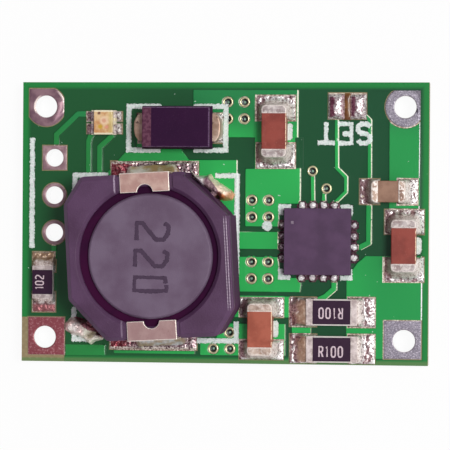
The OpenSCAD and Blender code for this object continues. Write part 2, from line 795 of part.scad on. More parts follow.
// A clip folded round the shield's edge: foot, side and tab, with a round notch in the tab
module clip() {
    inner = shield_l / 2 - clip_seat;
    high = shield_top - clip_seat;
    difference() {
        translate([-clip_w / 2, 0, 0]) {
            translate([0, inner - clip_foot, part_z]) cube([clip_w, clip_foot + clip_t, clip_t]);
            translate([0, inner, part_z]) cube([clip_w, clip_t, high + clip_t - part_z]);
            translate([0, inner - clip_tab, high]) cube([clip_w, clip_tab + clip_t, clip_t]);
        }
        translate([0, inner - clip_tab, high - clip_t]) cylinder(r = clip_notch_r, h = 3 * clip_t);
    }
}

module inductor_input_clip() {
    color([0.75, 0.62, 0.55]) in_inductor() clip();
}

module inductor_output_clip() {
    color([0.75, 0.62, 0.55]) in_inductor() rotate(180) clip();
}

// Lead wires: each leaves the shield by the slot in its corner cut, and is bent and tinned along the cut.
// Points lie at [along the cut, out from it, height above the board], from the middle of the cut.
lead_clear = 0.15;
lead_z = winding_low + winding_wire_d / 2 + drum_clear;
lead_start = winding_r + winding_wire_d / 2 + 0.27;
cut_mid = [shield_w - lead_chamfer[0], shield_l - lead_chamfer[1]] / 2;
cut_along = [lead_chamfer[0], -lead_chamfer[1]] / norm(lead_chamfer);
input_lead = [[0.16, 0.42, 0.66], [0.78, 0.5, 0.36]];
output_lead = [[0.02, 1.1, 0.5], [0.6, 1.34, 0.36]];
// The tinned length, from the land to the wire: the points of a lead, each with the solder's radius there
input_tin = [[-2.1, -0.25, 0.12, 0.12], [-1.37, 0.05, 0.4, 0.16], [-0.82, 0.25, 0.55, 0.32],
    [0, 0.38, 0.5, 0.38]];
output_tin = [[-1.93, -0.07, 0.14, 0.14], [-1.08, 0.52, 0.3, 0.18], [-0.83, 0.96, 0.34, 0.26],
    [-0.19, 1.21, 0.36, 0.3], [0.5, 1.36, 0.38, 0.33]];

function by_cut(p) =
    let (q = cut_mid + p[0] * cut_along + p[1] * left_of(cut_along)) [q[0], q[1], board_t + p[2]];

// A run of round wire or solder through points, with a radius at each
module round_run(points, radii) {
    for (i = [1 : len(points) - 1])
        hull() for (j = [i - 1, i]) translate(points[j]) sphere(r = radii[j], $fn = 12);
}

module lead_wire(bends) {
    start = lead_start * heading([0, 0], cut_mid);
    outside = by_cut([0, winding_wire_d / 2 + lead_clear, lead_z - board_t]);
    points = concat([[start[0], start[1], lead_z], outside], [for (p = bends) by_cut(p)]);
    round_run(points, [for (p = points) winding_wire_d / 2]);
}

module lead_wires() {
    lead_wire(input_lead);
    rotate(180) lead_wire(output_lead);
}

module inductor_lead_wires() {
    color([0.75, 0.45, 0.28]) in_inductor() lead_wires();
}

// A fillet of solder that climbs a clip's face
module clip_fillet() {
    clip_face = shield_l / 2 - clip_seat + clip_t;
    reach = 0.5;
    rise = 0.5;
    flare = 0.1;
    hull() {
        translate([-clip_w / 2 - flare, clip_face, land_z]) cube([clip_w + 2 * flare, reach, solder_film]);
        translate([-clip_w / 2, clip_face, land_z]) cube([clip_w, solder_film, rise]);
    }
}

module lead_tin(points) {
    round_run([for (p = points) by_cut(p)], [for (p = points) p[3]]);
}

// Solder over each land, up the clip's face, and along the lead wire to its tinned length
module inductor_solder() {
    color([0.8, 0.78, 0.76]) {
        for (s = [-1, 1]) level(land_z, solder_film) land(inductor_land_at(s), inductor_land, -mask_gap);
        in_inductor() difference() {
            union() {
                clip_fillet();
                lead_tin(input_tin);
                rotate(180) {
                    clip_fillet();
                    lead_tin(output_tin);
                }
            }
            lead_wires();
            level(shield_z, shield_h) offset(delta = drum_clear) shield_plan();
        }
    }
}

// Diode

diode_foot = diode_lead_t + 0.05;
diode_mid = diode_foot + diode_h / 2;
diode_lead_in = 0.5;
diode_lead_fold = 1;

// A block that swells by its draft to a parting line at half its height
module diode_moulding() {
    l = diode_l - 2 * diode_draft;
    w = diode_w - 2 * diode_draft;
    hull() {
        translate([0, 0, diode_foot]) block(l, w, diode_h);
        translate([0, 0, diode_mid - diode_lead_t / 2]) block(diode_l, diode_w, diode_lead_t);
    }
}

// A flat lead: out of the body at its parting line, down, and folded in under the body
module diode_lead() {
    out = diode_l / 2 + diode_lead_out - diode_lead_t / 2;
    half_t = diode_lead_t / 2;
    translate([0, diode_lead_w / 2, 0]) rotate([90, 0, 0]) linear_extrude(diode_lead_w)
        offset(r = half_t, $fn = 16) offset(delta = -half_t)
            strip([[diode_l / 2 - diode_lead_in, diode_mid], [out, diode_mid], [out, half_t],
                [out - diode_lead_fold, half_t]], diode_lead_t + 0.001);
}

module on_diode() {
    put(diode_at) translate([0, 0, part_z]) children();
}

module diode_body() {
    color([0.2, 0.12, 0.2])
        on_diode() difference() {
            diode_moulding();
            diode_lead();
            rotate(180) diode_lead();
        }
}

module diode_cathode_lead() {
    color([0.7, 0.66, 0.64]) on_diode() rotate(180) diode_lead();
}

module diode_anode_lead() {
    color([0.7, 0.66, 0.64]) on_diode() diode_lead();
}

// How far the solder climbs a lead of the diode
diode_fillet_h = 0.7;

module diode_solder() {
    end = diode_l / 2 + diode_lead_out;
    color([0.8, 0.78, 0.76])
        put(diode_at) for (turn = [0, 180]) rotate(turn) difference() {
            union() {
                translate([end - diode_lead_fold, -diode_lead_w / 2, land_z])
                    cube([diode_lead_fold + diode_reach[0], diode_lead_w, solder_film]);
                hull() {
                    translate([end - diode_lead_t, -diode_lead_w / 2, land_z])
                        cube([diode_lead_t + diode_reach[0], diode_lead_w, solder_film]);
                    translate([end - diode_lead_t, -diode_lead_w / 2, land_z])
                        cube([diode_lead_t, diode_lead_w, diode_fillet_h]);
                }
            }
            translate([0, 0, part_z]) diode_lead();
            translate([0, -diode_w, part_z]) cube([end - diode_lead_t / 2, 2 * diode_w, diode_h]);
        }
}

// Chip capacitors

chip_round = 0.09;
// Largest reach of a solder fillet beside a chip part and past its end
fillet_side = 0.16;
fillet_end = 0.5;

module ceramic(l, w, h) {
    translate([0, 0, part_z + end_metal_t])
        tumbled_block(l - 2 * end_metal_t, w - 2 * end_metal_t, h - 2 * end_metal_t, chip_round);
}

module end_caps(l, w, h, band) {
    difference() {
        translate([0, 0, part_z]) tumbled_block(l, w, h, chip_round);
        translate([0, 0, part_z - cut]) block(l - 2 * band, w + 2 * cut, h + 2 * cut);
        ceramic(l, w, h);
    }
}

// Solder at both ends of a chip part: hollow fillets round the end metal, rising from its land
module end_solder(l, w, h, band, reach, rounding) {
    side = min(reach[2], fillet_side);
    end = min(reach[0], fillet_end);
    start = l / 2 - band;
    // Share of the fillet's reach, and of the part's height, at each step up the hollow
    steps = [[1, 0], [0.3, 0.16], [0.05, 0.5]];
    for (turn = [0, 180]) rotate(turn)
        difference() {
            for (i = [0 : 1])
                hull() for (s = [steps[i], steps[i + 1]])
                    translate([start, -w / 2 - side * s[0], land_z])
                        cube([band + end * s[0], w + 2 * side * s[0], max(solder_film, s[1] * h)]);
            translate([0, 0, part_z]) {
                if (rounding > 0) tumbled_block(l, w, h, rounding);
                else block(l, w, h);
            }
        }
}

module large_capacitor_solder(reach) {
    color([0.8, 0.78, 0.76]) end_solder(cap_l, cap_w, cap_h, cap_band, reach, chip_round);
}

module large_capacitor_terminals() {
    color([0.72, 0.68, 0.66]) end_caps(cap_l, cap_w, cap_h, cap_band);
}

module input_capacitor_body() {
    color([0.6, 0.3, 0.26]) put(input_cap_at, 90) ceramic(cap_l, cap_w, cap_h);
}

module input_capacitor_terminals() {
    put(input_cap_at, 90) large_capacitor_terminals();
}

module input_capacitor_solder() {
    put(input_cap_at, 90) large_capacitor_solder(cap_reach);
}

module battery_capacitor_body() {
    color([0.56, 0.27, 0.22]) put(battery_cap_at, 90) ceramic(cap_l, cap_w, cap_h);
}

module battery_capacitor_terminals() {
    put(battery_cap_at, 90) large_capacitor_terminals();
}

module battery_capacitor_solder() {
    put(battery_cap_at, 90) large_capacitor_solder(cap_reach);
}

module output_capacitor_body() {
    color([0.68, 0.36, 0.29]) put(output_cap_at, 90) ceramic(cap_l, cap_w, cap_h);
}

module output_capacitor_terminals() {
    put(output_cap_at, 90) large_capacitor_terminals();
}

module output_capacitor_solder() {
    put(output_cap_at, 90) large_capacitor_solder(output_cap_reach);
}

module bypass_capacitor_body() {
    color([0.62, 0.48, 0.42]) put(bypass_cap_at) ceramic(small_cap_l, small_cap_w, small_cap_h);
}

module bypass_capacitor_terminals() {
    color([0.72, 0.68, 0.66])
        put(bypass_cap_at) end_caps(small_cap_l, small_cap_w, small_cap_h, small_cap_band);
}

module bypass_capacitor_solder() {
    color([0.8, 0.78, 0.76]) put(bypass_cap_at)
        end_solder(small_cap_l, small_cap_w, small_cap_h, small_cap_band, small_reach, chip_round);
}

// Chip resistors: an alumina substrate, metal wrapped over its ends, and a dark overcoat on top

module substrate(l, w, h) {
    translate([0, 0, part_z + end_metal_t]) block(l - 2 * end_metal_t, w, h - 2 * end_metal_t);
}

module end_wraps(l, w, h, band) {
    difference() {
        translate([0, 0, part_z]) block(l, w, h);
        translate([0, 0, part_z - cut]) block(l - 2 * band, w + 2 * cut, h + 2 * cut);
        substrate(l, w, h);
    }
}

module overcoat(l, w, h, band) {
    difference() {
        translate([0, 0, part_z + h - end_metal_t])
            tumbled_block(l - 1.6 * band, w - 2 * overcoat_margin, end_metal_t + overcoat_rise,
                overcoat_rise / 2);
        end_wraps(l, w, h, band);
    }
}

module sense_resistor_substrate() {
    color([0.9, 0.89, 0.86]) substrate(sense_l, sense_w, sense_h);
}

module sense_resistor_overcoat() {
    color([0.16, 0.11, 0.16]) overcoat(sense_l, sense_w, sense_h, sense_band);
}

module sense_resistor_terminals() {
    color([0.78, 0.75, 0.73]) end_wraps(sense_l, sense_w, sense_h, sense_band);
}

module sense_resistor_solder() {
    color([0.8, 0.78, 0.76]) end_solder(sense_l, sense_w, sense_h, sense_band, sense_reach, 0);
}

module upper_sense_resistor_substrate() {
    put(upper_sense_at) sense_resistor_substrate();
}

module upper_sense_resistor_overcoat() {
    put(upper_sense_at) sense_resistor_overcoat();
}

module upper_sense_resistor_terminals() {
    put(upper_sense_at) sense_resistor_terminals();
}

module upper_sense_resistor_solder() {
    put(upper_sense_at) sense_resistor_solder();
}

module lower_sense_resistor_substrate() {
    put(lower_sense_at) sense_resistor_substrate();
}

module lower_sense_resistor_overcoat() {
    put(lower_sense_at) sense_resistor_overcoat();
}

module lower_sense_resistor_terminals() {
    put(lower_sense_at) sense_resistor_terminals();
}

module lower_sense_resistor_solder() {
    put(lower_sense_at) sense_resistor_solder();
}

module led_resistor_substrate() {
    color([0.9, 0.89, 0.86]) put(led_res_at, 90) substrate(led_res_l, led_res_w, led_res_h);
}

module led_resistor_overcoat() {
    color([0.16, 0.11, 0.16]) put(led_res_at, 90) overcoat(led_res_l, led_res_w, led_res_h, led_res_band);
}

module led_resistor_terminals() {
    color([0.78, 0.75, 0.73]) put(led_res_at, 90) end_wraps(led_res_l, led_res_w, led_res_h, led_res_band);
}

module led_resistor_solder() {
    color([0.8, 0.78, 0.76]) put(led_res_at, 90)
        end_solder(led_res_l, led_res_w, led_res_h, led_res_band, led_res_reach, 0);
}

// Charger chip: a leadless square package, with its leads in the edge of its underside

module each_chip_lead() {
    for (side = [0 : 3], i = [0 : 3])
        put(chip_lead_at(side, i), side * 90) translate([0, 0, part_z]) children();
}

module chip_lead() {
    translate([-chip_lead_l, -chip_lead_w / 2, 0]) cube([chip_lead_l, chip_lead_w, chip_lead_h]);
}

module charger_chip_leads() {
    color([0.8, 0.78, 0.74]) each_chip_lead() chip_lead();
}

module charger_chip_thermal_pad() {
    color([0.8, 0.78, 0.74])
        put(chip_place) translate([0, 0, part_z]) block(thermal_side, thermal_side, chip_lead_h);
}

module charger_chip_body() {
    color([0.35, 0.27, 0.35])
        difference() {
            put(chip_place) translate([0, 0, part_z]) block(chip_side, chip_side, chip_h);
            each_chip_lead() chip_lead();
            charger_chip_thermal_pad();
        }
}

// Solder under each lead, with a toe that climbs the lead's end, and under the thermal pad
module charger_chip_solder() {
    toe = chip_land_reach - mask_gap;
    color([0.8, 0.78, 0.76]) {
        each_chip_lead() translate([0, chip_lead_w / 2, land_z - part_z]) rotate([90, 0, 0])
            linear_extrude(chip_lead_w) polygon([
                [-chip_lead_l, 0], [toe, 0], [toe * 0.4, solder_film + chip_lead_h * 0.4],
                [0, solder_film + chip_lead_h], [0, solder_film], [-chip_lead_l, solder_film]]);
        put(chip_place) translate([0, 0, land_z]) block(thermal_side, thermal_side, solder_film);
    }
}

// LED: two dies on a substrate, under one clear lens, with a terminal at each corner

led_terminal_l = (led_l - led_lens_l) / 2 - 0.03;
led_terminal_w = (led_w - led_terminal_gap) / 2;

module on_led() {
    put(led_at) translate([0, 0, part_z]) children();
}

module led_substrate() {
    color([0.85, 0.82, 0.72])
        on_led() translate([0, 0, end_metal_t])
            block(led_l - 2 * end_metal_t, led_w, led_base_t - 2 * end_metal_t);
}

module led_terminals() {
    color([0.82, 0.74, 0.58])
        difference() {
            on_led() for (sx = [-1, 1], sy = [-1, 1])
                translate([sx * (led_l - led_terminal_l) / 2, sy * led_w / 4, 0])
                    block(led_terminal_l, led_terminal_w, led_base_t);
            led_substrate();
        }
}

module led_die_places() {
    on_led() for (s = [-1, 1]) translate([0, s * led_w / 4, led_base_t - end_metal_t]) children();
}

module led_dies() {
    color([0.8, 0.7, 0.3]) led_die_places() block(led_die, led_die, led_die / 2);
}

module led_lens() {
    color([0.8, 0.68, 0.4])
        difference() {
            on_led() translate([0, 0, led_base_t - end_metal_t])
                block(led_lens_l, led_w, led_lens_h + end_metal_t);
            led_die_places() block(led_die, led_die, led_die / 2);
        }
}

module led_solder() {
    toe = led_reach[0] - mask_gap;
    color([0.8, 0.78, 0.76])
        put(led_at) for (turn = [0, 180], sy = [-1, 1]) rotate(turn)
            translate([led_l / 2, sy * led_w / 4 + led_terminal_w / 2, land_z]) rotate([90, 0, 0])
                linear_extrude(led_terminal_w) polygon([
                    [-led_terminal_l, 0], [toe, 0], [toe * 0.4, led_base_t * 0.4], [0, led_base_t * 0.8],
                    [0, solder_film], [-led_terminal_l, solder_film]]);
}

// Solder jumper: a low crown of solder on each land

module jumper_solder() {
    crown = jumper_land[0] * 0.3;
    shoulder = jumper_solder_h * 0.7;
    color([0.82, 0.8, 0.78])
        for (s = [-1, 1]) put(jumper_at + [s * jumper_half_step, 0])
            hull() {
                level(land_z, solder_film) rounded_rect(jumper_land - [mask_gap, mask_gap], crown / 2);
                level(land_z, shoulder) rounded_rect(jumper_land - [crown, crown], crown / 2);
                level(land_z, jumper_solder_h) rounded_rect(jumper_land - [crown, crown] * 2, crown / 2);
            }
}

board_laminate();
top_copper();
bottom_copper();
top_solder_mask();
bottom_solder_mask();
top_legend();
wire_hole_plating();
led_header_plating();
via_plating();
inductor_shield();
inductor_drum_core();
inductor_winding();
inductor_input_clip();
inductor_output_clip();
inductor_lead_wires();
inductor_solder();
diode_body();
diode_cathode_lead();
diode_anode_lead();
diode_solder();
input_capacitor_body();
input_capacitor_terminals();
input_capacitor_solder();
battery_capacitor_body();
battery_capacitor_terminals();
battery_capacitor_solder();
output_capacitor_body();
output_capacitor_terminals();
output_capacitor_solder();
bypass_capacitor_body();
bypass_capacitor_terminals();
bypass_capacitor_solder();
upper_sense_resistor_substrate();
upper_sense_resistor_overcoat();
upper_sense_resistor_terminals();
upper_sense_resistor_solder();
lower_sense_resistor_substrate();
lower_sense_resistor_overcoat();
lower_sense_resistor_terminals();
lower_sense_resistor_solder();
led_resistor_substrate();
led_resistor_overcoat();
led_resistor_terminals();
led_resistor_solder();
charger_chip_body();
charger_chip_leads();
charger_chip_thermal_pad();
charger_chip_solder();
led_substrate();
led_terminals();
led_dies();
led_lens();
led_solder();
jumper_solder();
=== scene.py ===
# %% [markdown]
# # A battery charger module, dressed for its picture
# The frame holds every solid of a small green circuit board: a shielded inductor, a diode, a charger
# chip and the small parts around them. This lesson keeps their places and sizes. It rounds the edges
# that are round on the real board, melts the solder, prints the legend and gives each piece a finish.

# %% Load the frame
import math

import bmesh
import bpy
import numpy as np
from mathutils import Matrix, Vector, noise
from mathutils.bvhtree import BVHTree
from mathutils.geometry import delaunay_2d_cdt


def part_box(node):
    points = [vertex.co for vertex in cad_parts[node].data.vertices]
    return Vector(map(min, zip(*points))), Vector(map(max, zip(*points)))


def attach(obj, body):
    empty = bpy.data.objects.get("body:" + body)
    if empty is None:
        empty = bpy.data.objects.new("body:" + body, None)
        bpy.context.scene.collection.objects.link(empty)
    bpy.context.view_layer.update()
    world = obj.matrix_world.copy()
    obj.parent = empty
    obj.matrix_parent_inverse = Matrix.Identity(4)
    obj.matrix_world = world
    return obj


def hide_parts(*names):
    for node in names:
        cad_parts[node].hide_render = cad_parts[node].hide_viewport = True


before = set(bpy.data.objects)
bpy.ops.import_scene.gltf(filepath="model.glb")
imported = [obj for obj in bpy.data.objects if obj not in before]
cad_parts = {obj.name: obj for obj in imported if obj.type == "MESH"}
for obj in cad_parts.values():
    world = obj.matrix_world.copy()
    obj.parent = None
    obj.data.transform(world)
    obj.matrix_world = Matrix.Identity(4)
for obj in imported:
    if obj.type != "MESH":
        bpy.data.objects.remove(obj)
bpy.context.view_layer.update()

# %% [markdown]
# ## The camera
# The board was photographed from almost straight above, from far off and a little to the right. A long
# lens from the same place gives the same slight view of the right-hand sides, so the camera comes first
# and every later piece can be compared with the photograph.

# %% Camera
MM = 0.001

eye = bpy.data.cameras.new("eye")
eye.sensor_width = 36.0
eye.lens = 201.244
eye.clip_start = 0.01
camera = bpy.data.objects.new("camera", eye)
camera.location = Vector((17.1253, 0.276, 154.486)) * MM
camera.rotation_euler = (-0.0019, 0.111, 0.0067)
bpy.context.collection.objects.link(camera)
bpy.context.scene.camera = camera
bpy.context.scene.view_settings.view_transform = "Standard"
print("camera at", [round(v, 3) for v in camera.location])

# %% [markdown]
# ## Tools for shaping
# An operator works on whatever is selected, so each helper first leaves one piece alone. The board is
# only 25 mm long and Blender counts in metres: bevels and merges are safer on larger numbers, so a piece
# is shaped in millimetres and shrunk to metres when it is kept.

# %% Select one piece, or some of its faces
def alone(piece):
    if bpy.context.mode != "OBJECT":
        bpy.ops.object.mode_set(mode="OBJECT")
    bpy.ops.object.select_all(action="DESELECT")
    piece.select_set(True)
    bpy.context.view_layer.objects.active = piece


def pick(piece, kind, test):
    """Goes into edit mode with only the faces, edges or vertices that pass the test selected."""
    alone(piece)
    bpy.ops.object.mode_set(mode="EDIT")
    bpy.ops.mesh.select_mode(type=kind)
    bpy.ops.mesh.select_all(action="DESELECT")
    cage = bmesh.from_edit_mesh(piece.data)
    parts = {"VERT": cage.verts, "EDGE": cage.edges, "FACE": cage.faces}[kind]
    chosen = [part for part in parts if test(part)]
    for part in chosen:
        part.select_set(True)
    cage.select_flush_mode()
    bmesh.update_edit_mesh(piece.data)
    return len(chosen)


def leave_edit():
    bpy.ops.object.mode_set(mode="OBJECT")


def apply(piece, kind, **settings):
    alone(piece)
    modifier = piece.modifiers.new(kind, kind)
    for name, value in settings.items():
        setattr(modifier, name, value)
    bpy.ops.object.modifier_apply(modifier=modifier.name)


def join(name, pieces):
    alone(pieces[0])
    for piece in pieces:
        piece.select_set(True)
    bpy.ops.object.join()
    whole = bpy.context.object
    whole.name = name
    whole.data.name = name
    return whole


# %% Copy a CAD node in millimetres, and round its edges
def copy_of(name, *nodes):
    """The triangles of these nodes, merged back into flat faces, as one mesh in millimetres."""
    cage = bmesh.new()
    for node in nodes:
        cage.from_mesh(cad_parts[node].data)
    shape = bpy.data.meshes.new(name)
    cage.to_mesh(shape)
    cage.free()
    shape.transform(Matrix.Scale(1 / MM, 4))
    piece = bpy.data.objects.new(name, shape)
    bpy.context.collection.objects.link(piece)
    alone(piece)
    bpy.ops.mesh.customdata_custom_splitnormals_clear()
    pick(piece, "VERT", lambda vert: True)
    bpy.ops.mesh.remove_doubles(threshold=0.0005)
    bpy.ops.mesh.select_all(action="SELECT")
    bpy.ops.mesh.dissolve_limited(angle_limit=math.radians(0.4))
    leave_edit()
    return piece


def smooth(piece, angle=35):
    alone(piece)
    bpy.ops.object.shade_smooth_by_angle(angle=math.radians(angle))
    apply(piece, "WEIGHTED_NORMAL", keep_sharp=True)


def soften(piece, width, segments=3, angle=32):
    """Rounds the edges, and marks the new narrow faces with the attribute "rim"."""
    for _ in range(2):
        piece.data.materials.append(None)
    apply(piece, "BEVEL", width=width, segments=segments, limit_method="ANGLE",
          angle_limit=math.radians(angle), use_clamp_overlap=True, material=1)
    marks = np.zeros(len(piece.data.polygons), dtype=np.int32)
    piece.data.polygons.foreach_get("material_index", marks)
    rim = piece.data.attributes.new("rim", "FLOAT", "FACE")
    rim.data.foreach_set("value", marks.astype(np.float32))
    piece.data.materials.clear()
    piece.data.polygons.foreach_set("material_index", np.zeros_like(marks))
    smooth(piece, 60)


def keep(piece, finish, slot, *nodes):
    """Shrinks a finished piece to metres, gives it its finish, hangs it under the root and hides the nodes
    it replaces.
    """
    alone(piece)
    piece.data.transform(Matrix.Scale(MM, 4))
    piece.data.materials.clear()
    piece.data.materials.append(finish)
    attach(piece, "root")
    if nodes:
        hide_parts(*nodes)
    piece.data.calc_loop_triangles()
    count = len(piece.data.loop_triangles)
    print(piece.name, count, "triangles, in place of", ", ".join(nodes) or "nothing")


def dress(finish, *nodes):
    for node in nodes:
        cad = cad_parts[node]
        cad.data.materials.clear()
        cad.data.materials.append(finish)
    print(finish.name, "on", ", ".join(nodes))


# %% [markdown]
# ## Tools for finishes
# A finish is a small sum over the surface: how far along, how high, how cloudy here. Writing it with
# plus and times is easier to read than a list of nodes and wires, so one class wraps a node's socket and
# turns each sign into a Math node. Places are read from the object's own coordinates, in millimetres.

# %% A value on its way through a material
class Flow:
    def __init__(self, tree, socket=None):
        self.tree = tree
        self.socket = socket

    def add(self, kind, settings={}, sockets={}, out=0):
        node = self.tree.nodes.new(kind)
        for name, value in settings.items():
            setattr(node, name, value)
        for name, value in sockets.items():
            if isinstance(value, Flow):
                self.tree.links.new(value.socket, node.inputs[name])
            else:
                node.inputs[name].default_value = value
        return Flow(self.tree, node.outputs[out] if node.outputs else None)

    def math(self, operation, *values):
        return self.add("ShaderNodeMath", {"operation": operation}, dict(enumerate(values)))

    def __add__(self, other):
        return self.math("ADD", self, other)

    def __sub__(self, other):
        return self.math("SUBTRACT", self, other)

    def __rsub__(self, other):
        return self.math("SUBTRACT", other, self)

    def __mul__(self, other):
        return self.math("MULTIPLY", self, other)

    def __pow__(self, other):
        return self.math("POWER", self, other)

    def __abs__(self):
        return self.math("ABSOLUTE", self)

    def most(self, other):
        return self.math("MAXIMUM", self, other)

    def sine(self):
        return self.math("SINE", self)

    __radd__ = __add__
    __rmul__ = __mul__


# %% Helpers on such values
def axes(place):
    parts = place.add("ShaderNodeSeparateXYZ", {}, {0: place})
    outs = parts.socket.node.outputs
    return [Flow(place.tree, outs[i]) for i in range(3)]


def spots(place, scale, detail=2.0, rough=0.5):
    return place.add("ShaderNodeTexNoise", {}, {"Vector": place, "Scale": scale, "Detail": detail,
                                               "Roughness": rough})


def grains(place, scale):
    return place.add("ShaderNodeTexVoronoi", {}, {"Vector": place, "Scale": scale})


def ramp(value, start, stop):
    """0 where the value is at start, 1 where it is at stop, and a soft S between them."""
    return value.add("ShaderNodeMapRange", {"interpolation_type": "SMOOTHSTEP"},
                     {"Value": value, "From Min": start, "From Max": stop})


def tint(colour):
    """A colour from its three values of 0 to 255 on a screen. Any other colour stays as it is."""
    if isinstance(colour, Flow) or len(colour) > 3:
        return colour
    return (*(((v / 255 + 0.055) / 1.055) ** 2.4 if v > 10 else v / 255 / 12.92 for v in colour), 1.0)


def mix(factor, first, second):
    sockets = {0: factor, 6: tint(first), 7: tint(second)}
    return factor.add("ShaderNodeMix", {"data_type": "RGBA"}, sockets, 2)


def rounded(place):
    """1 on the narrow faces of rounded edges, 0 elsewhere."""
    return place.add("ShaderNodeAttribute", {"attribute_name": "rim"}, out="Fac")


def turned(place):
    """How far the surface faces right, rear and up."""
    return axes(place.add("ShaderNodeNewGeometry", out="Normal"))


def finish(name, *noises):
    """A new material, the place on the surface in millimetres, and noises of this scale and detail."""
    skin = bpy.data.materials.new(name)
    skin.use_nodes = True
    skin.node_tree.nodes.clear()
    here = Flow(skin.node_tree).add("ShaderNodeTexCoord", out="Object")
    place = here.add("ShaderNodeVectorMath", {"operation": "SCALE"}, {0: here, "Scale": 1 / MM})
    return skin, place, *(spots(place, *noise) for noise in noises)


def wear(skin, colour, rough, height, depth, metallic=0.0, coat=0.0, shine=0.5):
    """Gives a material its shader, with bump from a height of 0 to 1 that is depth millimetres high."""
    bump = height.add("ShaderNodeBump", {}, {"Height": height, "Distance": depth * MM})
    shader = bump.add("ShaderNodeBsdfPrincipled", {}, {
        "Base Color": colour, "Roughness": rough, "Metallic": metallic, "Coat Weight": coat,
        "Specular IOR Level": shine, "Normal": bump})
    shader.add("ShaderNodeOutputMaterial", {}, {"Surface": shader})
    return skin


def cloudy(name, scale, dull, bright, rough, depth, **more):
    """A plain finish, mottled between two colours."""
    skin, _, cloud = finish(name, (scale, 3.0))
    return wear(skin, mix(cloud, dull, bright), rough + 0.2 * cloud, cloud, depth, **more)


# %% [markdown]
# ## Light, floor and background
# The photograph has one large soft lamp high on the right: right-hand edges are bright and the shadows
# fall a little to the left, and several finishes paint highlights on right-hand edges as well. The room
# is dim on the left, which makes solder dark on that side; the solder finishes paint their left-facing
# slopes darker too. The background is pure white, so the floor shines plain white at the camera but still
# takes a shadow.

# %% Lamps
def lamp(name, place, size, power):
    light = bpy.data.lights.new(name, "AREA")
    light.size = size
    light.energy = power
    holder = bpy.data.objects.new(name, light)
    holder.location = place
    holder.rotation_euler = Vector(place).to_track_quat("Z", "Y").to_euler()
    bpy.context.collection.objects.link(holder)


lamp("key", (0.135, 0.02, 0.32), size=0.09, power=0.62)
lamp("fill", (-0.3, -0.1, 0.22), size=0.2, power=0.14)

# %% Room
room = bpy.data.worlds.new("room")
bpy.context.scene.world = room
room.use_nodes = True
room.node_tree.nodes.clear()
way = Flow(room.node_tree).add("ShaderNodeTexCoord", out="Generated")
right, _, up = axes(way)
glow = mix(ramp(right, -0.7, 0.75), (96, 84, 96), (232, 230, 232))
glow = mix(ramp(up, 0.75, 1.0), glow, (152, 146, 154))
seen = way.add("ShaderNodeLightPath", out="Is Camera Ray")
sky = way.add("ShaderNodeBackground", {}, {"Color": mix(seen, glow, (1, 1, 1, 1))})
sky.add("ShaderNodeOutputWorld", {}, {"Surface": sky})

# %% Floor
bpy.ops.object.select_all(action="DESELECT")
bpy.ops.mesh.primitive_plane_add(size=1.6, location=(0, 0, -0.0001))
floor = bpy.context.object
floor.name = "floor"
paper = bpy.data.materials.new("paper")
paper.use_nodes = True
paper.node_tree.nodes.clear()
path = Flow(paper.node_tree)
looked_at = path.add("ShaderNodeLightPath", out="Is Camera Ray")
looked_at = looked_at.most(path.add("ShaderNodeLightPath", out="Is Glossy Ray"))
looked_at = looked_at.most(path.add("ShaderNodeLightPath", out="Is Transmission Ray"))
matte = path.add("ShaderNodeBsdfDiffuse", {}, {"Color": (0.86, 0.86, 0.86, 1)})
shine = path.add("ShaderNodeEmission", {}, {"Color": (1, 1, 1, 1)})
both = path.add("ShaderNodeMixShader", {}, {0: looked_at * 0.94, 1: matte, 2: shine})
both.add("ShaderNodeOutputMaterial", {}, {"Surface": both})
floor.data.materials.append(paper)
print("lamps, room and floor are up")

# %% [markdown]
# ## Laminate and copper
# The board itself is glass cloth in yellowish resin. It shows at the edges, in the holes, and where the
# mask stops short of the front left corner. A fine weave is two crossed waves, seen only on the flat
# faces: the sawn edges show the layers of cloth as level lines. The copper under the lands is tinned, so
# it gets the colour of the tin.

# %% Laminate
skin, place = finish("laminate")
x, y, z = axes(place)
_, _, up = turned(place)
weave = (x * 14).sine() * (y * 14).sine() * up * up
cloud = spots(place, 1.1, 3.0)
straw = mix(cloud, (142, 122, 92), (182, 164, 128))
straw = mix(ramp(weave, 0.2, 1.0) * 0.35, straw, (196, 182, 150))
layers = (z * 24).sine()
straw = mix(ramp(layers, 0.3, 0.9) * (1 - up * up) * 0.35, straw, (206, 194, 164))
corner = ramp(z, 1.5, 1.54)
straw = mix(corner * 0.6, straw, (124, 112, 62))
straw = mix(corner * ramp(y, -8.3, -8.45) * 0.85, straw, (66, 132, 66))
laminate = wear(skin, straw, 0.5 + 0.2 * cloud, weave * 0.3 + layers * 0.5 + cloud, 0.012)
dress(laminate, "board_laminate")

# %% Tinned copper
skin, _, cloud, fine = finish("tinned_copper", (2.4, 4.0), (9.0, 3.0))
pale = mix(ramp(cloud, 0.35, 0.7), (200, 186, 166), (240, 234, 218))
copper = wear(skin, mix(ramp(fine, 0.42, 0.56) * 0.75, pale, (124, 90, 86)), 0.3 + 0.25 * cloud,
              cloud, 0.01, metallic=1.0)
dress(copper, "top_copper", "bottom_copper")

# %% [markdown]
# ## Solder mask
# The green mask is a thin lacquer that flows over the copper, so every copper edge is a soft ramp. The
# lamp on the right draws a bright line on each ramp that faces it, and the finish paints a cream
# highlight on those ramps too. The solid has plain steps there: each step is cut into five bands, and
# the bands are pushed out at the foot and in at the ridge, so that the slope runs like an S.

# %% Mask with flowing steps
# Heights of the mask beside copper and over it, and the play allowed in a height
LOW, HIGH = 1.55, 1.6
NEAR = 0.002
# How far the foot of a slope is pushed out, and how far it runs from foot to ridge
FOOT, RUN = 0.032, 0.1


def is_step(face):
    heights = [vert.co.z for vert in face.verts]
    upright = abs(face.normal.z) < 0.1
    return upright and min(heights) > LOW - NEAR and abs(max(heights) - HIGH) < NEAR


def on_flat(face):
    heights = [vert.co.z for vert in face.verts]
    return face.normal.z > 0.9 and max(heights) - min(heights) < NEAR


